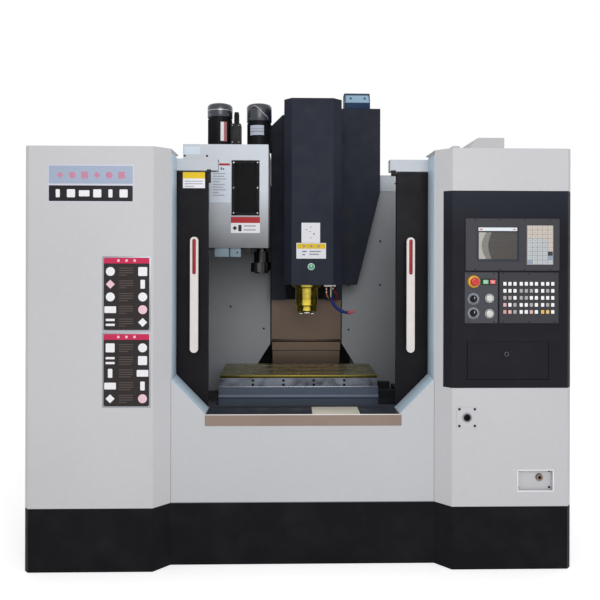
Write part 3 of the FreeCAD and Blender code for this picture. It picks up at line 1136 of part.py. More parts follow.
def electrical_door():
    """Sheet door with folded edges, a vent panel and the upper hinge halves."""
    y0, y1 = BACK - EDOOR_THICK, BACK
    door = box(EBOX_LEFT, EBOX_RIGHT, y0, y1, EBOX_LOW, EBOX_TOP)
    door = door.cut(box(EBOX_LEFT + 2, EBOX_RIGHT - 2, y0 - 1, y1 - 2, EBOX_LOW + 2,
                        EBOX_TOP - 2))
    slots = [box(AXIS_X - 120, AXIS_X + 120, y1 - 3, y1 + 1, z, z + 8)
             for z in range(560, 740, 24)]
    hole = cylinder(LATCH_X, y1 - 3, LATCH_Z, LATCH_R + RUNNING, 6, Y_DIR)
    corner = HINGE_R + HINGE_LEAF
    notches = [block(EBOX_LEFT, BACK, z - HAIR, 2 * corner, 2 * corner, 2 * HINGE_LENGTH + 2 * HAIR)
               for z in HINGE_Z]
    door = door.cut(slots + [hole] + notches)
    for z in HINGE_Z:
        low = z + HINGE_LENGTH + HAIR
        knuckle = bar(EBOX_LEFT, BACK, low, HINGE_R, HINGE_LENGTH)
        arm = box(EBOX_LEFT + HINGE_PIN_R, EBOX_LEFT + 3 * corner, BACK - 2, BACK, low,
                  low + HINGE_LENGTH - HAIR)
        half = fuse([knuckle, arm])
        door = door.fuse(half.cut(cylinder(EBOX_LEFT, BACK, low - 1, HINGE_PIN_R + RUNNING,
                                           HINGE_LENGTH * 0.8 + 2)))
    return door.removeSplitter()


def door_latch():
    """Rotary handle with its spindle and rose."""
    x, z = LATCH_X, LATCH_Z
    spindle = cylinder(x, BACK - 14, z, LATCH_R, 14 + 24, Y_DIR)
    grip = bevelled(box(x - 13, x + 13, BACK + 16, BACK + LATCH_REACH, z - 24, z + 110), 8, Y_DIR)
    rose = bar(x, BACK + HAIR, z, 2 * LATCH_R, 10, Y_DIR)
    return fuse([spindle, grip, rose])


# ================================================================ build
def main():
    os.makedirs("parts", exist_ok=True)
    nodes = {
        "left_cabinet": left_cabinet, "right_cabinet": right_cabinet,
        "front_apron": front_apron, "sill_strip": sill_strip, "plinth_skirts": plinth_skirts,
        "splash_wall_left": lambda: splash_wall(-1), "splash_wall_right": lambda: splash_wall(1),
        "door_rails": door_rails,
        "door_left": lambda: door(-1), "door_right": lambda: door(1),
        "door_window_left": lambda: door_window(-1), "door_window_right": lambda: door_window(1),
        "door_handle_left": lambda: door_handle(-1), "door_handle_right": lambda: door_handle(1),
        "bed_casting": bed_casting, "levelling_feet": levelling_feet,
        "column_casting": column_casting, "base_rails": base_rails, "base_motors": base_motors,
        "x_ballscrew": x_ballscrew, "y_ballscrew": y_ballscrew, "z_ballscrew": z_ballscrew,
        "saddle_casting": saddle_casting, "x_motor": x_motor,
        "table": table, "table_guard": table_guard,
        "head_casting": head_casting, "spindle_cartridge": spindle_cartridge,
        "spindle_shaft": spindle_shaft, "spindle_motor": spindle_motor,
        "head_cover": head_cover, "head_back_cover": head_back_cover, "cooler_box": cooler_box,
        "way_cover_upper": lambda: way_cover(0, WAY_A),
        "way_cover_middle": lambda: way_cover(1, WAY_B), "way_cover_fixed": way_cover_fixed,
        "coolant_nozzles": coolant_nozzles,
        "magazine_housing": magazine_housing, "magazine_window": magazine_window,
        "magazine_disc": magazine_disc, "cam_box": cam_box, "atc_motors": atc_motors,
        "arm_shaft": arm_shaft, "tool_arm": tool_arm,
        "control_housing": control_housing, "cnc_unit": cnc_unit, "display_glass": display_glass,
        "operator_plate": operator_plate, "key_membrane": key_membrane,
        "estop_button": estop_button,
        "power_on_button": lambda: power_button(POWER_ON),
        "power_off_button": lambda: power_button(POWER_OFF),
        "feed_knob": lambda: override_knob(KNOBS[0]), "speed_knob": lambda: override_knob(KNOBS[1]),
        "cycle_start_button": lambda: round_button(ROUND_BUTTONS[0]),
        "feed_hold_button": lambda: round_button(ROUND_BUTTONS[1]),
        "panel_flap": panel_flap,
        "electrical_cabinet": electrical_cabinet, "electrical_door": electrical_door,
        "door_latch": door_latch,
    }
    for node, make in nodes.items():
        save(node, make())


main()
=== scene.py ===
"""Vertical machining centre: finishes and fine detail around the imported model.

X runs to the operator's right, Y towards the back, Z up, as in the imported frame. Everything is
in metres, but x and z of flat work on a front face are in millimetres.
"""
import math
import random
from itertools import product

import bmesh
import bpy
from bpy.props import FloatProperty, FloatVectorProperty, PointerProperty
from mathutils import Matrix, Vector


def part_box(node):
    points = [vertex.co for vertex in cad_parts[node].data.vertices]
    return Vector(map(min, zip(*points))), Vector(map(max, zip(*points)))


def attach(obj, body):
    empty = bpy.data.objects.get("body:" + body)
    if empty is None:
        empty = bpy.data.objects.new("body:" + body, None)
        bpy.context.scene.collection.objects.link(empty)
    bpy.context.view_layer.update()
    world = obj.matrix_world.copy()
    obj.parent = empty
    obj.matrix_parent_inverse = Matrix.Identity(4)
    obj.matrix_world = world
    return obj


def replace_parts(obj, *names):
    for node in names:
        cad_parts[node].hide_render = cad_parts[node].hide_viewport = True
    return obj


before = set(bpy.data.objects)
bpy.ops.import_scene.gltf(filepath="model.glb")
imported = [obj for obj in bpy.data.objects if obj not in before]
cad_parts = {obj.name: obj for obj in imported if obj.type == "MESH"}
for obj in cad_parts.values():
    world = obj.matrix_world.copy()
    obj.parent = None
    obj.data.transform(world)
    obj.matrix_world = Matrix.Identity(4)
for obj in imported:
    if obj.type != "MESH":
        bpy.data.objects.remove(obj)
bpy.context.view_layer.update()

bl_info = {
    "name": "Machining Centre Looks",
    "version": (1, 0, 0),
    "blender": (4, 5, 0),
    "location": "View3D > Sidebar > Machine",
    "description": "Dresses the packed machining centre with finishes and fine detail",
    "category": "Object",
}

MM = 0.001
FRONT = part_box("left_cabinet")[0][1]            # front plane of the two cabinets
PANEL = FRONT - 0.003                           # front plane of the plates let into the panel
FILM, PRINT, FINE = 0.0005, 0.0002, 0.00015     # thickness of stickers, printed shapes and lines
X_AXIS, Y_AXIS, Z_AXIS = Vector((1, 0, 0)), Vector((0, 1, 0)), Vector((0, 0, 1))


# ---------------------------------------------------------------- user's sizes and colours
def colour(name, text, rgb):
    """sRGB colour property, written from 0 to 255."""
    return FloatVectorProperty(name=name, description=text, subtype="COLOR_GAMMA", size=3,
                               min=0.0, max=1.0, default=[c / 255 for c in rgb])


def length(name, text, millimetres):
    return FloatProperty(name=name, description=text, subtype="DISTANCE", unit="LENGTH",
                         min=0.0, default=millimetres * MM)


class MachineColours(bpy.types.PropertyGroup):
    cabinet: colour("Cabinet", "Paint of the two cabinets and the apron", (197, 197, 200))
    plinth: colour("Plinth", "Paint of the skirts along the floor", (20, 19, 23))
    door: colour("Doors", "Paint of the sliding doors", (26, 25, 29))
    panel: colour("Control panel", "Paint of the panel that carries the controls", (32, 32, 38))
    head: colour("Head covers", "Paint of the covers round the head", (42, 46, 57))
    changer: colour("Tool changer", "Paint of the tool magazine's cover", (208, 214, 222))
    walls: colour("Splash walls", "Sheet behind the work area", (160, 163, 168))
    guard: colour("Table guard", "Sheet that hangs from the table", (92, 103, 120))
    signal: colour("Signal red", "Emergency stop button", (196, 22, 24))
    label: colour("Label yellow", "Plain yellow label fields", (232, 196, 40))


class MachineSizes(bpy.types.PropertyGroup):
    label_thickness: length("Label thickness", "Thickness of stickers and plates", 0.8)
    screw_radius: length("Screw radius", "Radius of the small panel screws", 4.0)
    paint_grain: FloatProperty(name="Paint grain", description="Depth of the paint's fine texture",
                               min=0.0, max=1.0, default=0.12, subtype="FACTOR")
    camera_lens: FloatProperty(name="Lens", description="Focal length of the camera",
                               subtype="DISTANCE_CAMERA", unit="CAMERA", min=10, default=39.5)


def sizes():
    return bpy.context.scene.machine_sizes


# ---------------------------------------------------------------- materials
def linear(rgb):
    """sRGB 0 to 1, or 0 to 255, as linear RGBA."""
    if max(rgb) > 1.0:
        rgb = [c / 255 for c in rgb]
    return [c / 12.92 if c <= 0.04045 else ((c + 0.055) / 1.055) ** 2.4 for c in rgb] + [1.0]


class Surface:
    """Node material built up on one Principled shader, in Object coordinates.

    A pattern is a socket, or the settings of a noise: scale, detail, stretch, roughness, shift.
    """

    def __init__(self, name, rgb, roughness, metallic=0.0, specular=0.5):
        self.material = bpy.data.materials.new(name)
        self.material.use_nodes = True
        self.tree = self.material.node_tree
        self.shader = self.tree.nodes["Principled BSDF"]
        self.tone, self.bump = linear(rgb), None
        self.set("Base Color", self.tone)
        self.set("Roughness", roughness)
        self.set("Metallic", metallic)
        self.set("Specular IOR Level", specular)
        self.material.diffuse_color = self.tone
        self.coordinates = self.node("ShaderNodeTexCoord").outputs["Object"]

    def set(self, key, value, node=None):
        """Feeds an input of the shader, or of another node, with a socket or a value."""
        target = (node or self.shader).inputs[key]
        if isinstance(value, bpy.types.NodeSocket):
            self.tree.links.new(value, target)
        else:
            target.default_value = value

    def node(self, kind, inputs=(), **values):
        made = self.tree.nodes.new(kind)
        for key, value in values.items():
            setattr(made, key, value)
        for key, value in inputs:
            self.set(key, value, made)
        return made

    def noise(self, scale, detail=3.0, stretch=(1, 1, 1), roughness=0.5, shift=(0, 0, 0)):
        placed = self.node("ShaderNodeMapping", (("Scale", stretch), ("Location", shift),
                                                 ("Vector", self.coordinates)))
        settings = (("Scale", scale), ("Detail", detail), ("Roughness", roughness),
                    ("Vector", placed.outputs["Vector"]))
        return self.node("ShaderNodeTexNoise", settings).outputs["Fac"]

    def spread(self, pattern, low, high, first=0.3, last=0.7):
        """Maps the pattern's range from first to last onto low to high."""
        if not isinstance(pattern, bpy.types.NodeSocket):
            pattern = self.noise(*pattern)
        limits = (("From Min", first), ("From Max", last), ("To Min", low), ("To Max", high),
                  ("Value", pattern))
        return self.node("ShaderNodeMapRange", limits).outputs["Result"]

    def painted(self, factor, second, blend="MIX"):
        """Mixes a second colour over the first."""
        mixed = self.node("ShaderNodeMix", ((0, factor), (6, self.tone), (7, second)),
                          data_type="RGBA", blend_type=blend)
        self.tone = mixed.outputs[2]
        self.set("Base Color", self.tone)
        return self

    def shaded(self, pattern, amount):
        """Lightens and darkens the colour a little."""
        return self.painted(1.0, self.spread(pattern, 1 - amount, 1 + amount), "MULTIPLY")

    def stained(self, pattern, rgb, first, last, most=1.0):
        """Lays a second colour over the first where the pattern passes from first to last."""
        return self.painted(self.spread(pattern, 0.0, most, first, last), linear(rgb))

    def rough(self, pattern, low, high):
        self.set("Roughness", self.spread(pattern, low, high))
        return self

    def raised(self, pattern, strength, depth):
        if not isinstance(pattern, bpy.types.NodeSocket):
            pattern = self.noise(*pattern)
        inputs = [("Strength", strength), ("Distance", depth), ("Height", pattern)]
        if self.bump is not None:
            inputs.append(("Normal", self.bump))
        self.bump = self.node("ShaderNodeBump", inputs).outputs["Normal"]
        self.set("Normal", self.bump)
        return self

    def sums(self, operation, first, second=0.0):
        """One Math node; each input is a socket or a number."""
        made = self.node("ShaderNodeMath", ((0, first), (1, second)), operation=operation)
        return made.outputs[0]

    def axes(self):
        return self.node("ShaderNodeSeparateXYZ", ((0, self.coordinates),)).outputs

    def away(self, axis, centre):
        """Distance from a plane across the axis."""
        return self.sums("ABSOLUTE", self.sums("SUBTRACT", axis, centre))

    def cover(self, y_span, z_span):
        """Seam and corner screws of a removable cover on the machine's outer side faces."""
        side, seam, inset, screw_radius = 1.2985, 0.0015, 0.020, 0.0045
        x, y, z = self.axes()
        far, line, dots = self.sums("GREATER_THAN", self.sums("ABSOLUTE", x), side), [], []
        for axis, (low, high) in ((y, y_span), (z, z_span)):
            away, half = self.away(axis, (low + high) / 2), (high - low) / 2
            line.append(self.sums("SUBTRACT", away, half))
            dots.append(self.sums("SUBTRACT", away, half - inset))
        seams = self.sums("LESS_THAN", self.sums("ABSOLUTE", self.sums("MAXIMUM", *line)), seam)
        reach = [self.sums("MULTIPLY", d, d) for d in dots]
        heads = self.sums("LESS_THAN", self.sums("ADD", *reach), screw_radius ** 2)
        shown = self.sums("MULTIPLY", self.sums("MAXIMUM", seams, heads), far)
        return self.painted(self.sums("MULTIPLY", shown, 0.75), linear((46, 47, 50)))


def sheet_paint(name, rgb, roughness=0.42, wave=0.35):
    """Powder coat on sheet: fine grain, slow waves in the sheet and faint handling marks."""
    s = Surface(name, rgb, roughness, specular=0.3)
    s.shaded((1.7, 2.0), 0.018)
    s.shaded((35.0, 4.0, (1, 1, 1), 0.5, (3, 1, 2)), 0.012)
    s.rough((9.0, 5.0), roughness - 0.05, roughness + 0.07)
    s.raised((2.2, 1.0), wave, 0.002)
    return s.raised((1400.0, 2.0), sizes().paint_grain, 0.0002)


def cabinet_coat(name, rgb):
    """Cabinet paint, with the seams and screws of the two removable side covers."""
    s, height = sheet_paint(name, rgb), (0.42, 1.86)
    return s.cover((-0.98, -0.24), height).cover((-0.22, 0.52), height)


def rear_coat(name, rgb):
    """Cabinet paint, black on the face that looks into the machine."""
    s = sheet_paint(name, rgb)
    return s.stained(s.axes()[1], (16, 16, 18), 0.803, 0.801)


def changer_coat(name, rgb):
    """Light coat of the changer's cover, with painted shade: darker towards its lower edge, where
    less light falls, and near black on the inner faces behind its front.
    """
    s = sheet_paint(name, rgb, 0.42, 0.5)
    x, y, z = s.axes()
    # painted shade: the coat darkens towards its lower edge, where less light falls from above
    height = s.sums("ADD", z, s.sums("MULTIPLY", s.noise(5.0), 0.08))
    s.stained(height, (62, 58, 55), 1.90, 1.56, 0.84)
    # painted shade: the faces inside the cover, behind its front, are darkened to near black
    painted_inner_shade = s.sums("GREATER_THAN", y, -0.6088)
    for axis, centre, half in ((x, -0.4045, 0.2350), (z, 1.8255, 0.2860)):
        painted_inner_shade = s.sums("MULTIPLY", painted_inner_shade, s.sums("LESS_THAN", s.away(axis, centre), half))
    return s.stained(painted_inner_shade, (14, 14, 16), 0.4, 0.6)


def rail_coat(name, rgb):
    """Pale coat of the upper rail covers; the track along the ledge is painted dark slate as shade.
    """
    s = sheet_paint(name, rgb, 0.4, 0.4)
    # painted shade: the coat turns dark slate below 0.9 m, on the lower track along the ledge
    return s.stained(s.axes()[2], (46, 50, 59), 0.90, 0.88)


def guard_coat(name, rgb):
    """Blue-grey sheet of the table guard, with a painted highlight along its bead and painted shade
    below it.
    """
    s = sheet_paint(name, rgb, 0.4, 0.5)
    z = s.axes()[2]
    # painted shade: darker below the bead
    s.stained(z, (76, 86, 101), 0.690, 0.684)
    # painted highlight: a lighter band along the bead at 0.6925 m
    return s.stained(s.away(z, 0.6925), (108, 120, 140), 0.010, 0.004)


def table_iron(name, top_rgb, side_rgb):
    """Ground iron: oily yellow-green on top, bluer on the sides."""
    s = Surface(name, side_rgb, 0.32, 1.0)
    s.stained(s.axes()[2], top_rgb, 0.8020, 0.8035)
    s.shaded((5.0, 5.0), 0.09)
    s.shaded((26.0, 4.0, (1, 3, 1)), 0.06)
    s.rough((16.0, 5.0), 0.22, 0.46)
    return s.raised((600.0,), 0.05, 0.0003)


def dark_paint(name, rgb, roughness=0.38, dust=0.05):
    """Dark coat that shows dust and rubbed places."""
    s = Surface(name, rgb, roughness, specular=0.06)
    s.shaded((2.4,), 0.08)
    s.stained((6.0, 6.0, (1, 1, 1), 0.6), (120, 118, 114), 0.45, 0.9, dust)
    s.rough((14.0, 5.0), roughness - 0.07, roughness + 0.1)
    s.raised((2.6, 1.0), 0.25, 0.002)
    return s.raised((1100.0, 2.0), sizes().paint_grain * 1.5, 0.0003)


def panel_coat(name, rgb):
    """Control panel paint, with painted light: lighter and bluer towards its top, where more light
    falls.
    """
    s = dark_paint(name, rgb, 0.36, 0.03)
    # painted light: lighter blue-grey from 1.6 m up to 1.9 m
    return s.stained(s.axes()[2], (44, 49, 60), 1.60, 1.90, 0.9)


def cast_paint(name, rgb):
    """Thick enamel over a sand casting."""
    s = Surface(name, rgb, 0.45, specular=0.2).shaded((3.0,), 0.05)
    s.raised((45.0, 4.0), 0.35, 0.0015).raised((420.0,), 0.25, 0.0006)
    return s.rough((20.0, 4.0), 0.36, 0.55)


def brushed_metal(name, rgb, along="X", roughness=0.3, streak=0.12):
    """Metal with fine lines along one axis."""
    s = Surface(name, rgb, roughness, 1.0)
    lines = s.noise(6.0, 4.0, [1 if axis == along else 160 for axis in "XYZ"], 0.65)
    s.shaded(lines, streak).shaded((4.0,), 0.06)
    return s.rough(lines, roughness - 0.08, roughness + 0.14).raised(lines, 0.06, 0.0003)


def ground_metal(name, rgb, roughness=0.28):
    """Ground or turned steel with faint cloudy stains."""
    s = Surface(name, rgb, roughness, 1.0).shaded((14.0, 5.0), 0.09)
    return s.rough((40.0, 4.0), roughness - 0.08, roughness + 0.12).raised((600.0,), 0.05, 0.0003)


def moulded(name, rgb, roughness=0.45, grain=0.2):
    """Moulded plastic with a fine spark-eroded texture."""
    s = Surface(name, rgb, roughness, specular=0.2).shaded((30.0,), 0.03)
    return s.rough((80.0,), roughness - 0.05, roughness + 0.07).raised((2200.0, 2.0), grain, 0.0002)


def glossy(name, rgb, roughness=0.16):
    """Lacquered plastic or enamel with a clear top."""
    s = Surface(name, rgb, roughness)
    s.set("Coat Weight", 0.4)
    s.set("Coat Roughness", 0.08)
    return s.shaded((50.0,), 0.03).rough((60.0, 4.0), roughness, roughness + 0.1)


def printed(name, rgb, roughness=0.5):
    """Printed film or sticker."""
    s = Surface(name, rgb, roughness, specular=0.2).shaded((90.0, 2.0), 0.025)
    return s.rough((120.0,), roughness - 0.05, roughness + 0.05).raised((25.0,), 0.06, 0.0005)


def clear_pane(name, rgb, alpha, shine=0.1):
    """Safety glass with a faint film of dust."""
    s = Surface(name, rgb, 0.05, specular=shine)
    s.set("Alpha", alpha)
    s.set("Coat Weight", shine / 2)
    s.set("Coat Roughness", 0.03)
    return s.rough((12.0, 6.0), 0.05, 0.17).shaded((5.0,), 0.05)


# Each row: name, sRGB colour or the user's colour, then the kind's own settings.
FINISH_ROWS = {
    cabinet_coat: (("Cabinet paint", "cabinet"),),
    rear_coat: (("Rear cabinet paint", "cabinet"),),
    changer_coat: (("Changer cover paint", "changer"),),
    rail_coat: (("Rail cover paint", (190, 195, 202)),),
    guard_coat: (("Guard paint", "guard"),),
    table_iron: (("Oiled table iron", (146, 140, 100), (134, 139, 151)),),
    panel_coat: (("Control panel paint", "panel"),),
    cast_paint: (("Casting enamel", (40, 42, 47)),),
    sheet_paint: (
        ("Apron paint", (192, 193, 197)), ("Splash wall paint", "walls", 0.4, 0.5),
        ("Light capping paint", (206, 212, 219), 0.42, 0.4),
        # the pale blue trim is painted light on the inward-facing slants
        ("Pale blue trim", (206, 226, 242), 0.4, 0.3), ("Pale blue face", (156, 186, 210), 0.35),
        ("Blue-grey bracket", (128, 148, 160), 0.4)),
    dark_paint: (
        ("Plinth paint", "plinth", 0.45, 0.05), ("Door paint", "door", 0.34, 0.03),
        ("Head cover paint", "head", 0.42, 0.04), ("Slate wear sheet", (50, 54, 63), 0.4, 0.06),
        ("Cooling unit paint", (60, 78, 96), 0.4, 0.03), ("Navy band", (38, 60, 92), 0.36, 0.03),
        ("Olive-black cheek", (28, 32, 28), 0.42, 0.03), ("Motor black", (24, 24, 28), 0.32, 0.03)),
    brushed_metal: (
        ("Polished sill strip", (130, 115, 106), "X", 0.28, 0.1),
        ("Bright sill bead", (206, 202, 200), "X", 0.35, 0.05),
        ("Way cover steel", (92, 80, 72), "Z", 0.40, 0.10),
        ("Wiper strip steel", (70, 60, 54), "X", 0.4, 0.1),
        ("Plate edge aluminium", (150, 154, 160), "Z", 0.4, 0.05),
        ("Dial plate aluminium", (96, 100, 110), "X", 0.4, 0.06),
        ("Tray rim steel", (214, 216, 220), "X", 0.3, 0.04),
        ("Button rim", (190, 192, 194), "X", 0.3, 0.04),
        ("Sight ring", (128, 150, 140), "X", 0.3, 0.04),
        ("Oiled edge", (116, 104, 40), "X", 0.3, 0.1),
        # the guard edge strip is a painted highlight
        ("Worn guard edge", (176, 182, 196), "X", 0.4, 0.08)),
    ground_metal: (
        ("Zinc-plated steel", (172, 172, 170), 0.34), ("Blackened screw steel", (38, 38, 40), 0.42),
        ("Bright ground steel", (178, 178, 176), 0.26), ("Blackened foot steel", (70, 70, 72), 0.5),
        ("Oiled shaft steel", (74, 72, 68), 0.3), ("Dark arm steel", (58, 57, 58), 0.34),
        ("Dark holder steel", (92, 90, 84), 0.34), ("Oiled yellow steel", (206, 186, 74), 0.18),
        ("Olive steel", (176, 158, 66), 0.2), ("Lock steel", (92, 92, 98), 0.3),
        ("Oily brass", (196, 160, 88), 0.26), ("Aged brass", (128, 112, 104), 0.4),
        ("Copper pipe", (176, 106, 70), 0.3), ("Hole rim", (72, 74, 80), 0.4)),
    moulded: (
        # black rubber also serves as painted shade in the gap round the flap
        ("Black rubber", (16, 16, 17), 0.6, 0.3), ("Black plastic", (22, 22, 24), 0.45),
        ("Black bracket", (20, 20, 22), 0.5), ("Black latch", (24, 24, 26), 0.4),
        ("Black grille", (28, 28, 30), 0.5), ("Black sensor block", (24, 24, 28), 0.45),
        ("Black jaw", (26, 26, 28), 0.4), ("Black knob plastic", (16, 16, 18), 0.35),
        # the dark hole colour is painted shade inside holes and slots
        ("Pot plastic", (26, 26, 28), 0.5), ("Dark hole", (8, 8, 9), 0.8, 0.0),
        ("Grey bush", (150, 152, 158), 0.5), ("Grey joint sealant", (120, 122, 128), 0.6),
        ("Cream handle", (225, 218, 215), 0.38, 0.1), ("Inlay groove", (92, 44, 44), 0.6),
        ("Dark red enamel", (150, 36, 40), 0.4, 0.05),
        ("Control unit grey", (62, 61, 66), 0.45, 0.3),
        ("Operator plate grey", (69, 70, 76), 0.42, 0.3),
        ("Key field grey", (57, 57, 62), 0.5, 0.2),
        ("Blue-black bezel edge", (44, 52, 68), 0.4), ("Pale key field", (164, 160, 158), 0.55),
        ("Beige key", (206, 196, 186), 0.5), ("Pale grey key", (190, 196, 200), 0.5),
        ("Blue-grey key", (150, 162, 182), 0.5), ("Dark key", (54, 56, 64), 0.5),
        ("Dark key rim", (34, 35, 40), 0.6), ("Amber collar side", (206, 122, 30), 0.5),
        ("Button frame", (26, 26, 28), 0.5), ("Grey lens rim", (150, 152, 154), 0.4),
        ("Dark round knob", (66, 88, 108), 0.4), ("Dark red rubber", (98, 28, 30), 0.45),
        ("Blue hose link", (36, 52, 124), 0.35), ("Red nozzle", (190, 92, 90), 0.4)),
    glossy: (
        ("Display glass", (22, 22, 24), 0.08), ("Dark screen picture", (52, 47, 43), 0.2),
        ("Pale screen field", (170, 168, 160), 0.25), ("Grey screen field", (116, 114, 107), 0.25),
        ("Dark key lamp", (30, 24, 24), 0.2), ("Lighted green", (34, 150, 78), 0.22),
        ("Lighted red", (190, 40, 44), 0.22), ("Button lens power_on", (150, 196, 168), 0.2),
        ("Button lens power_off", (226, 112, 116), 0.2),
        ("Pale lens cycle_start", (206, 210, 204), 0.2),
        ("Pale lens feed_hold", (210, 208, 202), 0.2), ("Yellow collar", (228, 176, 36), 0.35),
        ("Stop button red", "signal", 0.22), ("Green sight glass", (70, 158, 128), 0.12),
        ("Blue-black cowl", (32, 38, 50), 0.3)),
    printed: (
        ("White print", (236, 236, 240)), ("Grey print", (150, 150, 160)),
        ("Dark print", (40, 40, 46)),
        ("Label yellow print", "label"), ("Blue-grey field", (163, 175, 196)),
        ("Black field", (30, 26, 32)), ("Pale field rim", (206, 208, 220)),
        ("Faded pink print", (196, 136, 160)), ("Warm black field", (42, 36, 36), 0.42),
        ("Crimson band", (196, 44, 84)), ("Faint brown line", (84, 76, 72)),
        ("Pale rose print", (232, 196, 208)), ("Cream wear plate", (238, 233, 214), 0.35),
        ("Bright screen strip", (226, 232, 240), 0.3), ("Red screen mark", (190, 60, 50)),
        ("Key legend", (110, 106, 108)), ("White key", (244, 244, 244), 0.42),
        ("Grey key", (176, 170, 172), 0.42), ("Rose key", (224, 178, 176), 0.42),
        ("Amber key", (226, 190, 112), 0.42), ("Dim red key", (204, 164, 156), 0.42),
        ("Violet print", (120, 112, 168)), ("Pale green mark", (176, 216, 196)),
        ("Red band print", (176, 44, 50)), ("Pale grey sheet", (216, 224, 236)),
        ("Light top sheet", (222, 236, 248)), ("Soiled label", (184, 190, 206)),
        ("Faded red print", (176, 110, 112))),
    clear_pane: (("Door pane", (176, 188, 186), 0.28), ("Smoked pane", (9, 9, 12), 0.74, 0.03)),
}
FINISHES = {name: (kind, *values) for kind, rows in FINISH_ROWS.items() for name, *values in rows}
MADE = {}


def material(name):
    """Material of that name, made at its first use."""
    if name not in MADE:
        kind, rgb, *values = FINISHES[name]
        if isinstance(rgb, str):
            rgb = tuple(getattr(bpy.context.scene.machine_colours, rgb))
        MADE[name] = kind(name, rgb, *values).material
    return MADE[name]


# ---------------------------------------------------------------- mesh tools
def runs_along(edge, axis):
    way = edge.verts[1].co - edge.verts[0].co
    return way.length > 0 and abs(way.normalized().dot(axis)) > 0.999


def broken(shape, edges, width, segments=2):
    """Rounds the given edges a little."""
    bmesh.ops.bevel(shape, geom=edges, offset=width, offset_type="OFFSET", affect="EDGES",
                    segments=segments, profile=0.5, material=-1, clamp_overlap=True)


def plate(low, high, corner=0.0, edge=0.0006, axis=Y_AXIS, segments=5):
    """Plate between two corners: round outline seen along the axis, then broken rims."""
    shape = bmesh.new()
    low, high = Vector(low), Vector(high)
    place = Matrix.Translation((low + high) / 2) @ Matrix.Diagonal((*(high - low), 1.0))
    bmesh.ops.create_cube(shape, size=1.0, matrix=place)
    if corner:
        broken(shape, [e for e in shape.edges if runs_along(e, axis)], corner, segments)
    if edge:
        rims = [e for e in shape.edges if abs((e.verts[1].co - e.verts[0].co).dot(axis)) < 1e-7]
        broken(shape, rims, edge)
    return shape


def outline(points, depth, edge=0.0006):
    """Flat closed outline of 3-D points, given a thickness along a vector."""
    shape = bmesh.new()
    face = shape.faces.new([shape.verts.new(p) for p in points])
    grown = bmesh.ops.extrude_face_region(shape, geom=[face])
    moved = [v for v in grown["geom"] if isinstance(v, bmesh.types.BMVert)]
    bmesh.ops.translate(shape, vec=depth, verts=moved)
    if edge:
        along = Vector(depth).normalized()
        broken(shape, [e for e in shape.edges if not runs_along(e, along)], edge)
    return shape


def turned(profile, centre, axis=Z_AXIS, steps=32):
    """Surface of revolution; the profile lists (radius, height along the axis)."""
    shape = bmesh.new()
    points = [shape.verts.new((r, 0, h)) for r, h in profile]
    for pair in zip(points, points[1:]):
        shape.edges.new(pair)
    bmesh.ops.spin(shape, geom=shape.verts[:] + shape.edges[:], cent=(0, 0, 0), axis=Z_AXIS,
                   angle=math.tau, steps=steps, use_merge=True)
    bmesh.ops.remove_doubles(shape, verts=shape.verts[:], dist=1e-6)
    turn = Vector(axis).to_track_quat("Z", "Y").to_matrix().to_4x4()
    bmesh.ops.transform(shape, matrix=Matrix.Translation(centre) @ turn, verts=shape.verts[:])
    return shape


def disc(centre, radius, height, axis=-Y_AXIS, edge=0.0006, steps=32):
    """Closed round plate that stands on its centre, with a soft rim."""
    soft = edge * 0.3
    profile = [(0, 0), (radius, 0), (radius, height - edge), (radius - soft, height - soft),
               (radius - edge, height), (0, height)]
    return turned(profile, centre, axis, steps)


def ring(centre, outer, inner, height, axis=-Y_AXIS, edge=0.0005, steps=40):
    """Round collar with softened rims."""
    profile = [(inner, 0), (outer, 0), (outer, height - edge), (outer - edge, height),
               (inner + edge, height), (inner, height - edge), (inner, 0)]
    return turned(profile, centre, axis, steps)


def screw(centre, axis=-Y_AXIS, radius=None):
    """Button-head screw with a socket."""
    r = radius or sizes().screw_radius
    profile = ((0, 0.1), (0.42, 0.1), (0.46, 0.55), (0.75, 0.5), (0.96, 0.2), (1, 0), (0, 0))
    return turned([(a * r, b * r) for a, b in profile], centre, axis, 12)


def hex_bolt(centre, axis=-Y_AXIS, radius=0.007, height=0.005):
    """Hexagon head on a washer."""
    rim, seat = radius * 1.35, height * 0.2
    washer = turned([(0, 0), (rim, 0), (rim, seat), (0, seat)], centre, axis, 18)
    head = turned([(0, 0), (radius, 0), (radius, height * 0.85), (radius * 0.9, height),
                   (0, height)], Vector(centre) + Vector(axis) * seat, axis, 6)
    return merged(washer, head)


def merged(*shapes):
    """Several loose shapes as one."""
    whole = bmesh.new()
    for shape in shapes:
        pour(shape, whole)
    return whole


def pour(shape, target):
    """Moves one bmesh's faces into another."""
    carrier = bpy.data.meshes.new("carrier")
    shape.to_mesh(carrier)
    shape.free()
    target.from_mesh(carrier)
    bpy.data.meshes.remove(carrier)


def tube(points, radius, smooth=6, sides=4):
    """Round tube with closed ends along a smooth line through control points."""
    line = bpy.data.curves.new("line", "CURVE")
    line.dimensions = "3D"
    spline = line.splines.new("NURBS")
    spline.points.add(len(points) - 1)
    for point, place in zip(spline.points, points):
        point.co = (*place, 1.0)
    spline.order_u = 3
    spline.use_endpoint_u = True
    line.resolution_u = smooth
    line.bevel_depth = radius
    line.bevel_resolution = sides
    line.use_fill_caps = True
    holder = bpy.data.objects.new("line", line)
    drawn = bpy.data.meshes.new_from_object(holder)
    shape = bmesh.new()
    shape.from_mesh(drawn)
    bmesh.ops.remove_doubles(shape, verts=shape.verts[:], dist=1e-7)
    bpy.data.objects.remove(holder)
    bpy.data.curves.remove(line)
    bpy.data.meshes.remove(drawn)
    return shape


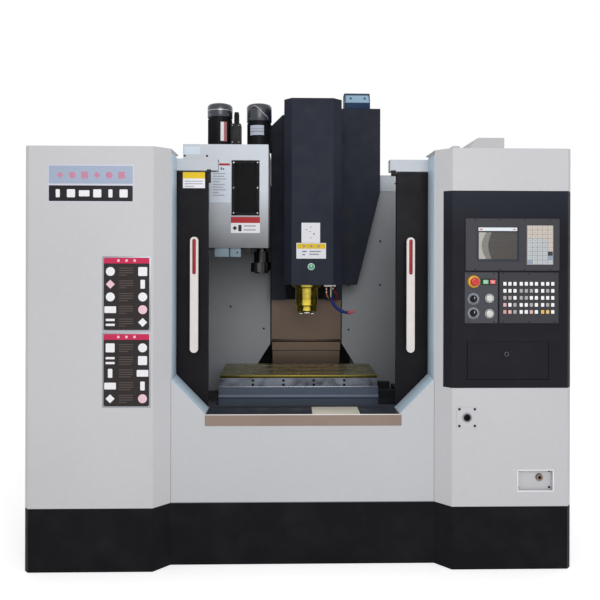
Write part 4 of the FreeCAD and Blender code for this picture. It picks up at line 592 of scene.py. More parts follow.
class Piece:
    """One new piece: shapes with their finishes and the body it rides on; its slot is kept but not
    used.
    """

    def __init__(self, name, body, slot, *finishes):
        self.name, self.body, self.slot, self.finishes = name, body, slot, finishes
        self.mesh = bmesh.new()

    def add(self, shape, tone=0):
        """Takes in a shape; the tone counts the piece's finishes from 0."""
        bmesh.ops.recalc_face_normals(shape, faces=shape.faces[:])
        for face in shape.faces:
            face.material_index = tone
        pour(shape, self.mesh)

    def finish(self, angle=32.0):
        mesh = bpy.data.meshes.new(self.name)
        self.mesh.to_mesh(mesh)
        self.mesh.free()
        for name in self.finishes:
            mesh.materials.append(material(name))
        mesh.shade_smooth()
        mesh.set_sharp_from_angle(angle=math.radians(angle))
        made = bpy.data.objects.new(self.name, mesh)
        bpy.context.scene.collection.objects.link(made)
        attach(made, self.body)
        return made


def front_field(x0, x1, z0, z1, y, thick, corner=0.0, edge=0.0003):
    """Sticker or small plate on a face that looks to the front, in millimetres but for y."""
    return plate((x0 * MM, y - thick, z0 * MM), (x1 * MM, y, z1 * MM), corner, edge)


def at(x, z, y):
    """Point on a front face: x and z in millimetres, y in metres."""
    return Vector((x * MM, y, z * MM))


def span(node):
    """x, x, z, z of a node, in millimetres, and its front plane in metres."""
    low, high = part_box(node)
    return low.x / MM, high.x / MM, low.z / MM, high.z / MM, low.y


def spaced(first, last, count):
    """Even steps from the first value to the last."""
    return [first + k * (last - first) / (count - 1) for k in range(count)]


def border(x0, x1, z0, z1, width):
    """Four bars round a rectangle, each as x, x, z, z: top, bottom, left and right."""
    return ((x0 - width, x1 + width, z1, z1 + width), (x0 - width, x1 + width, z0 - width, z0),
            (x0 - width, x0, z0, z1), (x1, x1 + width, z0, z1))


def circle(x, y, z, radius, count, turn=0.0):
    """Points evenly round an upright axis, from a share of one step on."""
    angles = [math.tau * (k + turn) / count for k in range(count)]
    return [Vector((x + radius * math.cos(a), y + radius * math.sin(a), z)) for a in angles]


# ---------------------------------------------------------------- plain print
def mark(kind, x, z, size, y, thick=PRINT):
    """One plain printed shape, centred on (x, z), in millimetres but for y."""
    half = size / 2
    if kind == "disc":
        return disc(at(x, z, y), half * MM, thick, edge=thick * 0.4, steps=24)
    if kind == "diamond":
        corners = [(x - half, z), (x, z + half), (x + half, z), (x, z - half)]
        return outline([at(a, b, y) for a, b in corners], (0, -thick, 0), 0)
    if kind == "pair":
        return merged(*[bar(x, z + shift, half, half * 0.25, y, thick, half * 0.1)
                        for shift in (-half * 0.55, half * 0.55)])
    wide, high, corner = {"square": (1, 1, 0.2), "wide": (1.3, 0.75, 0.15),
                          "tall": (0.5, 1, 0.2)}[kind]
    return bar(x, z, half * wide, half * high, y, thick, half * corner)


def bar(x, z, half_x, half_z, y, thick, corner=0.0):
    """Printed bar with sharp rims, in millimetres but for y and the thickness."""
    return front_field(x - half_x, x + half_x, z - half_z, z + half_z, y, thick, corner * MM, 0)


def name_fields():
    """Two plain fields of colour high on the left cabinet, each with a row of plain shapes."""
    layer, x0, x1 = sizes().label_thickness * 0.5, -1185, -792
    piece = Piece("name_fields", "base", "cabinet_paint", "Blue-grey field", "Black field",
                  "Pale field rim", "Faded pink print", "White print")
    piece.add(front_field(x0 - 4, x1 + 4, 1744, 1922, FRONT, layer, 0.002), 2)
    face = FRONT - layer
    piece.add(front_field(x0, x1, 1832, 1916, face, layer, 0.001), 0)
    piece.add(front_field(x0, x1, 1749, 1823, face, layer, 0.001), 1)
    top, pitch = face - layer, (x1 - x0 - 60) / 5
    for kinds, inset, tighter, z, size, tone in (
            (("diamond", "disc", "square") * 2, 52, 9, 1872, 32, 3),
            (("tall", "square", "wide", "square", "tall", "square"), 42, 5, 1786, 38, 4)):
        for i, kind in enumerate(kinds):
            piece.add(mark(kind, x0 + inset + i * (pitch - tighter), z, size, top), tone)
    piece.finish()


def shape_plate(name, z0, z1, columns, rng):
    """Dark plate with a crimson head band, plain pale shapes and rows of faint lines."""
    x0, x1, rim, band = -934, -706, 7, 27
    middle, thick = (x0 + x1) / 2, sizes().label_thickness * 1.5
    piece = Piece(name, "base", "plate_grey", "Plate edge aluminium", "Warm black field",
                  "Crimson band", "White print", "Faint brown line", "Pale rose print")
    piece.add(front_field(x0, x1, z0, z1, FRONT, thick, 0.004))
    face = FRONT - thick
    piece.add(front_field(x0 + rim, x1 - rim, z0 + rim, z1 - rim, face, PRINT, 0.001, 0), 1)
    top, head = face - PRINT, z1 - rim
    piece.add(front_field(x0 + rim, x1 - rim, head - band, head, top, PRINT, 0, 0), 2)
    for i in (-1, 0, 1):
        piece.add(mark("square", middle + i * 38, head - band / 2, 11, top - PRINT), 5)
    low, high, rows = z0 + rim + 6, head - band - 8, len(columns[0])
    levels = [high - (row + 0.5) * (high - low) / rows for row in range(rows)]
    for side, kinds in zip((-1, 1), columns):
        for z, kind in zip(levels, kinds):
            tone = 5 if kind.endswith("*") else 3
            piece.add(mark(kind.strip("*"), middle + side * 76, z, 42, top), tone)
    for z in levels:
        for k in range(4):
            reach = 66 if k < 3 else 30 + 30 * rng.random()
            piece.add(front_field(-855, -855 + reach, z + 14 - k * 11, z + 18 - k * 11, top,
                                  PRINT * 0.7, 0, 0), 4)
    for x, z in product((x0 + 9, x1 - 9), (z0 + 9, z1 - 9)):
        piece.add(screw(at(x, z, face), radius=0.0032))
    piece.finish()


def shape_plates():
    """Two plates of plain shapes on the left cabinet; a star marks the rose ones."""
    rng = random.Random(4)
    upper = (("disc", "diamond*", "disc", "wide", "pair"),
             ("square", "tall", "disc", "disc*", "diamond"))
    lower = (("square", "pair", "tall", "wide", "diamond"),
             ("disc", "square", "wide", "tall", "disc*"))
    shape_plate("shape_plate_upper", 1135, 1490, upper, rng)
    shape_plate("shape_plate_lower", 775, 1130, lower, rng)


# ---------------------------------------------------------------- enclosure
def socket_detail():
    """Four dark screws, a pale ring and the shadowed hole of the square socket plate."""
    x, z = 796, 725
    piece = Piece("socket_fittings", "base", "cabinet_paint", "Blackened screw steel",
                  "Grey bush", "Dark hole")
    for dx, dz in product((-37, 37), (-40, 40)):
        piece.add(screw(at(x + dx, z + dz, PANEL), radius=0.0062))
    piece.add(ring(at(x, z, PANEL), 0.0235, 0.0172, 0.0032), 1)
    piece.add(ring(at(x, z, PANEL), 0.0170, 0.0105, 0.0026))
    # painted shade: a dark disc stands for the inside of the hole
    piece.add(disc(at(x, z, FRONT + 0.006), 0.0146, 0.002, steps=24), 2)
    piece.finish()


def hatch_detail():
    """Round fitting, corner screws and bright rim of the sunk tray in the right cabinet."""
    x0, x1, z0, z1 = 1043, 1209, 375, 470
    back, inset, fitting = FRONT + 0.024, 8, at(1152, 432, FRONT + 0.024)
    piece = Piece("tray_fittings", "base", "ground_steel", "Aged brass", "Blackened screw steel",
                  "Tray rim steel", "Dark hole")
    piece.add(ring(fitting, 0.016, 0.0075, 0.011))
    piece.add(ring(fitting, 0.0175, 0.0150, 0.004))
    # painted shade: a dark disc stands for the bore of the fitting
    piece.add(disc(fitting, 0.0076, 0.004, steps=20), 3)
    for x, radius in ((x0 + inset, 0.004), (x1 - inset, 0.006)):
        for z in (z0 + inset, z1 - inset):
            piece.add(screw(at(x, z, back), radius=radius), 1)
    for sides in border(x0, x1, z0, z1, 5):
        piece.add(front_field(*sides, FRONT, 0.0012), 2)
    piece.finish()


def wall_screws():
    """Dark screws in the splash walls and along their top bands."""
    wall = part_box("splash_wall_left")[1].y - 0.003
    piece = Piece("wall_screws", "base", "splash_grey", "Blackened screw steel")
    for x, z in ((-609, 1430), (-436, 1158), (-611, 1012), (-215, 1500), (-215, 1012),
                 (349, 1595), (349, 1303), (349, 1005), (560, 1303), (560, 1595), (720, 1150)):
        piece.add(screw(at(x, z, wall), radius=0.0068))
    piece.finish()


def ledge_plate():
    """Cream wear plate on the folded ledge in front of the table."""
    x0, x1, low, high, front = 0.062, 0.294, 0.726, 0.7275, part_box("front_apron")[0].y
    piece = Piece("ledge_plate", "base", "plate_grey", "Cream wear plate", "Zinc-plated steel")
    piece.add(plate((x0, front + 0.003, low), (x1, front + 0.150, high), 0.004, 0.0004, Z_AXIS))
    for x, y in product((x0 + 0.012, x1 - 0.012), (front + 0.016, front + 0.138)):
        piece.add(screw((x, y, high), Z_AXIS, 0.003), 1)
    piece.finish()


def slant_trims():
    """Pale blue trim on the folded slants and their flanges, as painted light on faces that the
    lamp barely reaches, and a dark slate sheet on the ledge between them.
    """
    y0, y1 = FRONT + 0.0705, FRONT + 0.2175
    piece = Piece("slant_trims", "base", "stainless", "Pale blue trim")
    # painted light: the slants and flanges get a paler, bluer coat than the cabinet paint
    for x0, z0, x1, z1, way in ((-0.460, 0.7275, -0.6225, 0.8945, 1),
                                (0.489, 0.7275, 0.6545, 0.8945, -1)):
        run = Vector((x1 - x0, 0, z1 - z0)).normalized()
        corners = ((x0, y0, z0), (x1, y0, z1), (x1, y1, z1), (x0, y1, z0))
        piece.add(outline(corners, Vector((run.z, 0, -run.x)) * way * 0.0012, 0.0003))
    for x0, x1 in ((-0.6230, -0.6218), (0.6538, 0.6550)):
        piece.add(plate((x0, y0 + 0.001, 0.898), (x1, y1 - 0.001, 1.990), 0, 0.0003))
    piece.finish()
    low, top = 0.726, 0.7268
    # a dark slate sheet laid over the ledge in front of the table
    mat = Piece("ledge_sheet", "base", "guard_blue", "Slate wear sheet", "Zinc-plated steel",
                "Bright sill bead")
    mat.add(plate((-0.458, FRONT + 0.0672, 0.7222), (0.494, FRONT + 0.068, 0.7262), 0, 0.0003), 2)
    mat.add(plate((-0.455, FRONT + 0.072, low), (0.484, FRONT + 0.2595, top), 0.003, 0.0003,
                  Z_AXIS))
    for k in range(7):
        mat.add(screw((-0.44 + k * 0.151, FRONT + 0.2380, top), Z_AXIS, 0.0032), 1)
    mat.finish()


def wall_bands():
    """Light capping sheet along the top of both splash walls."""
    y, thick, inset = 0.107, 0.0012, 0.004
    left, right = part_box("splash_wall_left"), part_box("splash_wall_right")
    piece = Piece("wall_capping", "base", "cabinet_paint", "Light capping paint",
                  "Blackened screw steel")
    for x0, x1, top in ((left[0].x + inset, -0.512, left[1].z),
                        (0.306, right[1].x - inset, right[1].z)):
        piece.add(plate((x0, y - thick, top - 0.107), (x1, y, top), 0, 0.0004))
        for x in spaced(x0 + 0.03, x1 - 0.03, 4):
            piece.add(screw((x, y - thick, top - 0.054), radius=0.0045), 1)
    piece.finish()


def rear_panel_screws():
    """Two rear cabinet covers with their screws and louvres."""
    rear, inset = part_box("left_cabinet")[1].y, 0.02
    outer = rear + 0.0015
    piece = Piece("rear_cover_detail", "base", "cabinet_paint", "Cabinet paint",
                  "Blackened screw steel")
    for x0, x1 in ((-1.26, -0.48), (0.60, 1.26)):
        piece.add(plate((x0, rear, 0.34), (x1, outer, 1.95), 0.006, 0.0005))
        for z, x in product(spaced(0.37, 1.92, 5), (x0 + inset, x1 - inset)):
            piece.add(screw((x, outer, z), Y_AXIS), 1)
        middle = (x0 + x1) / 2
        for row in range(9):
            louvre = [(middle + a, outer + b, 0.62 + row * 0.03)
                      for a, b in ((-0.13, 0), (-0.12, 0.0072), (0.12, 0.0072), (0.13, 0))]
            piece.add(outline(louvre, (0, 0, 0.012), 0.0015))
    piece.finish()


def roof_detail():
    """Screws on the roof edges and on the cable duct."""
    top, duct_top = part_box("left_cabinet")[1].z, 2.096
    piece = Piece("roof_screws", "base", "cabinet_paint", "Blackened screw steel")
    for side, k in product((-1, 1), range(6)):
        piece.add(screw((side * 1.28, -1.10 + k * 0.33, top), Z_AXIS))
    for x, y in product((0.925, 1.02), (-0.93, -0.80, -0.67)):
        piece.add(screw((x, y, duct_top), Z_AXIS, 0.0035))
    piece.finish()


def seam_lines():
    """Sealant in the joints where the apron meets the uprights and the plinth."""
    y0, y1 = FRONT + 0.0694, FRONT + 0.071
    piece = Piece("joint_sealant", "base", "cabinet_paint", "Grey joint sealant")
    for x0, x1, z0, z1 in ((-0.6242, -0.6218, 0.302, 0.893), (0.6538, 0.6562, 0.302, 0.893),
                           (-0.6215, 0.6535, 0.2985, 0.3015)):
        piece.add(plate((x0, y0, z0), (x1, y1, z1), 0, 0))
    piece.finish()


# ---------------------------------------------------------------- sliding doors
def handle_inlays():
    """Dark red inlay in the upper third of each handle, with a darker groove round it."""
    for side in ("left", "right"):
        low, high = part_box("door_handle_" + side)
        x, y, bottom, top = (low.x + high.x) / 2, low.y, high.z - 0.186, high.z - 0.011
        piece = Piece("handle_inlay_" + side, side + "_door", "button_red", "Dark red enamel",
                      "Inlay groove")
        piece.add(plate((x - 0.0088, y - 0.0006, bottom - 0.001), (x + 0.0088, y, top + 0.001),
                        0.0087, 0, segments=8), 1)
        piece.add(plate((x - 0.0076, y - 0.0024, bottom), (x + 0.0076, y, top), 0.0075, 0.0008,
                        segments=8))
        piece.finish()


def door_gaskets():
    """Rubber profile round each door window."""
    inset, width, proud = 0.018, 0.014, 0.004
    for side in ("left", "right"):
        low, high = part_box("door_window_" + side)
        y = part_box("door_" + side)[0].y
        piece = Piece("window_gasket_" + side, side + "_door", "button_black", "Black rubber")
        for x0, x1, z0, z1 in border(low.x + inset, high.x - inset, low.z + inset,
                                     high.z - inset, width):
            piece.add(plate((x0, y - proud, z0), (x1, y, z1), 0, 0.0018))
        piece.finish()


def door_label():
    """Plain sticker with a yellow head band at the top of the left door."""
    x0, x1, z0, z1, y = -592, -480, 1836, 1917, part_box("door_left")[0].y
    face = y - FILM
    piece = Piece("door_label", "left_door", "plate_grey", "White print", "Label yellow print",
                  "Grey print")
    piece.add(front_field(x0, x1, z0, z1, y, FILM, 0.002))
    piece.add(front_field(x0, x1, z1 - 32, z1, face, PRINT, 0.001, 0), 1)
    for k, short in enumerate((12, 12, 55)):
        z = z1 - 48 - k * 13
        piece.add(front_field(x0 + 10, x1 - short, z, z + 4, face, FINE, 0, 0), 2)
    piece.finish()


def door_stops():
    """Small dark brackets with a lip and a bolt at the ends of the upper rails."""
    piece = Piece("rail_brackets", "base", "button_black", "Black bracket")
    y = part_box("door_rails")[0].y
    for x0, x1, foot, a, b in ((-0.470, -0.449, 1.862, -0.449, -0.420),
                               (0.464, 0.489, 1.900, 0.452, 0.464)):
        piece.add(plate((x0, y - 0.004, foot), (x1, y, 1.930), 0.002, 0.0006))
        piece.add(plate((a, y - 0.003, 1.9175), (b, y, 1.9225), 0.001, 0.0004))
        piece.add(hex_bolt(((x0 + x1) / 2, y - 0.004, 1.915), radius=0.005, height=0.004))
    piece.finish()


# ---------------------------------------------------------------- control panel
STOP = at(826, 1373, PANEL)                     # where the emergency stop stands
KNOBS = (("feed_knob", "feed_dial", 1291), ("speed_knob", "speed_dial", 1223))
KNOB_X, BUTTON_X = 825, 901
BUTTONS = (("cycle_start_button", "cycle_start", 1294), ("feed_hold_button", "feed_hold", 1221))


def screen_picture():
    """Bright strip, dark picture and the pale curved reflection painted on the display glass."""
    x0, x1, z0, z1, y = span("display_glass")
    thick, top, low, steps = 0.0003, z1 - 26, z0 + 4, 12
    piece = Piece("screen_picture", "base", "screen_glass", "Bright screen strip",
                  "Dark screen picture", "Pale screen field", "Grey screen field",
                  "Blue-black bezel edge", "Red screen mark")
    piece.add(front_field(x0 + 3, x1 - 3, z1 - 19, z1 - 3, y, thick, 0.001, 0))
    for a, b in ((x0 + 9, x0 + 24), (x1 - 22, x1 - 12)):
        piece.add(front_field(a, b, z1 - 14, z1 - 9, y - thick, thick / 2, 0, 0), 5)
    piece.add(front_field(x0 + 3, x1 - 3, low, top, y, thick, 0.001, 0), 1)
    # painted reflection: two pale curved fields on the glass
    for face, reach, bulge, tone in ((y - thick, 66, 16, 3), (y - thick * 1.5, 40, 22, 2)):
        arc = [(x0 + reach - bulge * math.sin(math.pi * k / steps), top - (top - low) * k / steps)
               for k in range(steps + 1)]
        points = [at(a, b, face) for a, b in arc + [(x0 + 5, low), (x0 + 5, top)]]
        piece.add(outline(points, (0, -thick / 2, 0), 0), tone)
    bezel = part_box("cnc_unit")[0].y
    for sides in ((x0 - 5, x1 + 5, z0 - 6, z0), (x1, x1 + 5, z0, z1), (x0 - 5, x0, z0, z1)):
        piece.add(front_field(*sides, bezel, 0.0012, 0, 0.0004), 4)
    piece.finish()


def keypad_caps():
    """Caps of the control unit's keypad: pale beige and grey, in three blocks."""
    x0, x1, z0, z1, top = 1078, 1207, 1453, 1643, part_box("cnc_unit")[0].y
    columns, rows, rim, gap, thick, face = 5, 9, 3, 1.2, 0.0016, top - 0.0019
    dx, dz = (x1 - x0 - 2 * rim) / columns, (z1 - z0 - 2 * rim) / rows
    field = Piece("keypad_field", "base", "key_plastic", "Pale key field")
    field.add(front_field(x0 + 1, x1 - 1, z0 + 1, z1 - 1, top - 0.0001, 0.0018, 0.002))
    field.finish()
    piece = Piece("keypad_caps", "base", "key_plastic", "Beige key", "Pale grey key",
                  "Blue-grey key", "Dark key", "Key legend")
    half_x, half_z = dx / 2 - gap, dz / 2 - gap
    for i, j in product(range(columns), range(rows)):
        x, z = x0 + rim + (i + 0.5) * dx, z0 + rim + (j + 0.5) * dz
        tone = 0 if j > 5 or (i > 3 and j > 2) else 1
        if j < 2 and (i + j) % 5 == 0:
            tone = 2
        elif (i, j) == (4, 2):
            tone = 3
        piece.add(front_field(x - half_x, x + half_x, z - half_z, z + half_z, face, thick,
                              0.0012, 0.0006), tone)
        piece.add(bar(x, z, half_x * 0.35, 0.9, face - thick, 0.0001), 4)
    for row in (3, 6):
        piece.add(bar((x0 + x1) / 2, z0 + rim + row * dz, (x1 - x0) / 2, 0.9, top - 0.0008,
                      0.0004), 3)
    piece.finish()


def bezel_screws():
    """Screws round the control unit, the operator plate and the key field."""
    piece = Piece("bezel_screws", "base", "button_black", "Blackened screw steel")
    for node, y, shares in (("cnc_unit", FRONT - 0.005, (0.10, 0.36, 0.63, 0.90)),
                            ("operator_plate", PANEL, (0.12, 0.88)),
                            ("key_membrane", PANEL, (0.06, 0.5, 0.94))):
        x0, x1, z0, z1, _ = span(node)
        for share, z in product(shares, (z0 + 6, z1 - 6)):
            piece.add(screw(at(x0 + (x1 - x0) * share, z, y), radius=0.0032))
    piece.finish()


def key_field():
    """Printed caps of the operator keys: white, grey, rose, amber and dim red, with lamps."""
    piece = Piece("key_caps", "base", "key_plastic", "White key", "Grey key", "Rose key",
                  "Amber key", "Dim red key", "Dark key lamp", "Dark key rim")
    letters, face, pitch = "wgrad", PANEL - 0.0015, 24.3
    xs = [first + k * pitch for first, count in ((975, 3), (1053.6, 4), (1156.5, 3))
          for k in range(count)]
    for row, line in enumerate(("wwwwwwwwww", "wwwgggwwgw", "ggwggwwwww", "rwgwwgwwgw",
                                "drgwwrwaaw")):
        z = 1229 + (4 - row) * 33.5
        for x, letter in zip(xs, line):
            piece.add(front_field(x - 7.6, x + 7.6, z - 8.7, z + 8.7, face, 0.0009, 0.0018,
                                  0.0004), letters.index(letter))
            piece.add(front_field(x - 9.0, x + 9.0, z - 10.2, z + 10.2, face + 0.0012, 0.0010,
                                  0.002), 6)
            piece.add(disc(at(x, z + 14.4, face + 0.0015), 0.0016, 0.0008, edge=0.0003, steps=8),
                      5)
    piece.finish()


def estop_collar():
    """Yellow guard ring of the emergency stop."""
    piece = Piece("estop_collar", "base", "plate_grey", "Yellow collar", "Amber collar side")
    piece.add(turned([(0.0125, 0), (0.0265, 0), (0.0280, 0.003), (0.0280, 0.010),
                      (0.0258, 0.013), (0.0215, 0.0135), (0.0200, 0.011), (0.0125, 0.0105),
                      (0.0125, 0)], STOP, -Y_AXIS, 48))
    piece.add(ring(STOP, 0.0300, 0.0270, 0.002), 1)
    piece.finish()


def estop_mushroom():
    """Turned mushroom of the emergency stop on its stem, with a slightly dished top."""
    piece = Piece("estop_mushroom", "estop", "button_red", "Stop button red")
    piece.add(turned([(0, -0.022), (0.011, -0.022), (0.011, 0.019), (0.016, 0.019),
                      (0.0192, 0.0212), (0.0200, 0.0245), (0.0200, 0.0295), (0.0188, 0.0325),
                      (0.0160, 0.0345), (0.0125, 0.0350), (0.0080, 0.0346), (0, 0.0343)],
                     STOP, -Y_AXIS, 56))
    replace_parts(piece.finish(), "estop_button")


def dial_scales():
    """Printed dial plates with plain tick marks round the two override knobs."""
    piece = Piece("dial_scales", "base", "plate_grey", "Dial plate aluminium", "White print")
    x, thick, foot, half = KNOB_X, 0.0009, 20.8, 0.55
    for _, _, z in KNOBS:
        piece.add(ring(at(x, z, PANEL), 0.0295, 0.0070, thick))
        for k in range(19):
            angle = math.radians(-135 + k * 15)
            a, b = math.sin(angle), math.cos(angle)
            tip = 26.6 if k % 3 == 0 else 24.4
            tick = [at(x + a * r + s * b * half, z + b * r - s * a * half, PANEL - thick)
                    for r, s in ((foot, -1), (tip, -1), (tip, 1), (foot, 1))]
            piece.add(outline(tick, (0, -PRINT, 0), 0), 1)
    piece.finish()


def override_knobs():
    """Turned skirted knobs with grip flutes and a white pointer line."""
    x, flutes = KNOB_X, 16
    for node, body, z in KNOBS:
        piece = Piece(node + "_turned", body, "button_black", "Black knob plastic", "White print")
        piece.add(turned([(0, -0.014), (0.005, -0.014), (0.005, 0.0005), (0.0165, 0.0005),
                          (0.0165, 0.0040), (0.0158, 0.0050), (0.0136, 0.0066),
                          (0.0124, 0.0085), (0.0118, 0.0188), (0.0108, 0.0200), (0, 0.0200)],
                         at(x, z, PANEL), -Y_AXIS, 48))
        for k in range(flutes):
            angle = math.tau * (k + 0.5) / flutes
            foot = at(x + 12 * math.sin(angle), z + 12 * math.cos(angle), PANEL - 0.006)
            piece.add(disc(foot, 0.0013, 0.0130, steps=8))
        piece.add(front_field(x - 1, x + 1, z + 1, z + 10.5, PANEL - 0.0200, 0.0007, 0.0004,
                              0.0002), 1)
        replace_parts(piece.finish(), node)


def button_rims():
    """Bright rims and pale lenses of the round buttons, and frames of the two lighted ones."""
    piece = Piece("button_rims", "base", "plate_grey", "Button rim", "Button frame")
    for _, _, z in BUTTONS:
        piece.add(ring(at(BUTTON_X, z, PANEL), 0.0215, 0.0187, 0.0050))
    z = 1372
    for x in (881, 915):
        for sides in border(x - 14.2, x + 14.2, z - 11.2, z + 11.2, 2.8):
            piece.add(front_field(*sides, PANEL, 0.0022, 0, 0.0005), 1)
    piece.finish()
    for node, body, z in BUTTONS:
        piece = Piece(node + "_turned", body, "key_plastic", "Pale lens " + body, "Grey lens rim")
        piece.add(turned([(0, -0.012), (0.0150, -0.012), (0.0150, 0.0080), (0.0128, 0.0088),
                          (0.0080, 0.0092), (0, 0.0094)], at(BUTTON_X, z, PANEL), -Y_AXIS, 48))
        piece.add(turned([(0.0150, -0.012), (0.0180, -0.012), (0.0180, 0.0076),
                          (0.0172, 0.0088), (0.0158, 0.0090), (0.0150, 0.0082),
                          (0.0150, -0.012)], at(BUTTON_X, z, PANEL), -Y_AXIS, 48), 1)
        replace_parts(piece.finish(), node)


def power_button_marks():
    """Pale lens of each lighted button and a plain mark on it."""
    for body, slot in (("power_on", "button_green"), ("power_off", "button_red")):
        x0, x1, z0, z1, y = span(body + "_button")
        x, z, face = (x0 + x1) / 2, (z0 + z1) / 2, y - 0.0008
        piece = Piece(body + "_button_lens", body, slot, "Button lens " + body, "White print")
        piece.add(front_field(x - 11.4, x + 11.4, z - 8.4, z + 8.4, y, 0.0008, 0.0016, 0.0005))
        if body == "power_on":
            piece.add(bar(x, z, 0.8, 4, face, FINE), 1)
        else:
            piece.add(ring(at(x, z, face), 0.0042, 0.0030, FINE, edge=0.00005, steps=24), 1)
        piece.finish()


def flap_lock():
    """Lock barrel with its key slot in the flap, with painted shade in the slot and in the gap
    round the flap.
    """
    x0, x1, z0, z1, y = span("panel_flap")
    x, z = 984, 1028
    piece = Piece("flap_lock_face", "flap", "button_black", "Lock steel", "Dark hole")
    piece.add(ring(at(x, z, y), 0.0112, 0.0075, 0.0022))
    # painted shade: a dark bar stands for the key slot
    piece.add(bar(x, z, 1.2, 5.5, y, 0.0006), 1)
    piece.finish()
    # painted shade: black strips stand for the shaded gap round the flap
    gap = Piece("flap_shadow_gap", "base", "button_black", "Black rubber")
    for sides in ((x0 - 3, x1 + 3, z1 + 0.8, z1 + 3), (x0 - 3, x0 - 0.8, z0, z1),
                  (x1 + 0.8, x1 + 3, z0, z1)):
        gap.add(front_field(*sides, FRONT, 0.0006, 0, 0.0002))
    gap.finish()


# ---------------------------------------------------------------- head
def head_labels():
    """Two plain stickers on the head cover: one white, one with a yellow head band."""
    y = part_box("head_cover")[0].y
    piece = Piece("head_labels", "head", "plate_grey", "White print", "Label yellow print",
                  "Grey print", "Violet print")
    piece.add(front_field(20, 127, 1570, 1685, y, FILM, 0.0015, 0))
    for x, z, size, kind, tone in ((74, 1660, 9, "diamond", 2), (48, 1646, 9, "diamond", 2),
                                   (69, 1634, 7, "disc", 2), (92, 1621, 12, "diamond", 3),
                                   (74, 1598, 9, "diamond", 2)):
        piece.add(mark(kind, x, z, size, y - FILM, FINE), tone)
    piece.add(front_field(-9, 161, 1479, 1569, y, 0.0006, 0.0015, 0))
    face = y - 0.0006
    piece.add(front_field(-5, 157, 1536, 1565, face, PRINT, 0.001, 0), 1)
    for x in (34, 76, 118):
        piece.add(mark("square", x, 1550.5, 12, face - PRINT, FINE), 2)
    for x, z, wide, tone in ((24, 1520, 26, 3), (66, 1520, 66, 2), (66, 1504, 54, 2),
                             (24, 1502, 16, 3)):
        piece.add(bar(x + wide / 2, z, wide / 2, 3.5, face, FINE), tone)
    piece.finish()


def sight_glass():
    """Green oil sight in its ring, low on the head cover."""
    x, z, y = 76, 1433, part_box("head_cover")[0].y
    piece = Piece("oil_sight", "head", "plate_grey", "Green sight glass", "Sight ring",
                  "Pale green mark")
    piece.add(ring(at(x, z, y), 0.0205, 0.0152, 0.0050), 1)
    piece.add(turned([(0, 0.0034), (0.008, 0.0030), (0.0152, 0.001), (0.0154, 0), (0, 0)],
                     at(x, z, y), -Y_AXIS, 40))
    piece.add(disc(at(x, z + 1, y - 0.0033), 0.0042, 0.0004, edge=0.0001, steps=20), 2)
    piece.finish()


def spindle_nose_bands():
    """Turned spindle nose with its bolted flange, yellow with way oil."""
    x, y, z0, bore = 0.056, -0.320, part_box("spindle_cartridge")[0].z, 0.0410
    low = 1.330 - z0
    high = low + 0.240
    piece = Piece("spindle_nose", "head", "ground_steel", "Oiled yellow steel",
                  "Blackened screw steel", "Olive steel")
    piece.add(turned([(bore, 0), (0.0545, 0), (0.0560, 0.001), (0.0636, 0.0080),
                      (0.0640, 0.0095), (0.0640, 0.0335), (0.0648, 0.0350), (0.0696, 0.0395),
                      (0.0700, 0.0410), (0.0700, 0.0750)], (x, y, z0), Z_AXIS, 72))
    piece.add(turned([(0.0700, 0.0750), (0.0692, 0.0756), (0.0692, 0.0800), (0.0700, 0.0806),
                      (0.0700, low - 0.027), (0.0712, low - 0.0255), (0.0865, low - 0.0205),
                      (0.0880, low - 0.0190), (0.0880, low - 0.001), (0.0870, low),
                      (0.0700, low), (0.0700, high), (bore, high), (bore, 0)],
                     (x, y, z0), Z_AXIS, 72), 2)
    for z, radius, count, turn, size in ((1.3105, 0.079, 8, 0.5, 0.0055),
                                         (z0, 0.0505, 6, 0.25, 0.0035)):
        for place in circle(x, y, z, radius, count, turn):
            piece.add(screw(place, -Z_AXIS, size), 1)
    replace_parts(piece.finish(), "spindle_cartridge")


def cover_seams():
    """Small screws of the head covers and the seal along the shroud's left edge."""
    (low, high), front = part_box("head_cover"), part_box("head_back_cover")[0].y
    piece = Piece("head_cover_screws", "head", "head_grey", "Blackened screw steel")
    for x, axis in ((low.x, -X_AXIS), (high.x, X_AXIS)):
        for k in range(5):
            z = 1.40 + k * 0.235
            piece.add(screw((x, -0.085, z), axis))
            piece.add(screw((x, -0.40, z), axis, 0.003))
    for x, z in ((-0.128, 1.285), (-0.128, 1.60), (-0.128, 2.02), (0.505, 2.36), (0.315, 1.34)):
        piece.add(screw((x, front, z)))
    for x, y in product((-0.04, 0.21), (-0.44, -0.12)):
        piece.add(screw((x, y, high.z), Z_AXIS))
    piece.finish()
    seal = Piece("shroud_edge_seal", "head", "button_black", "Black rubber")
    seal.add(plate((-0.1665, -0.058, 1.225), (-0.1620, 0.078, 2.330), 0, 0.0012))
    seal.finish()


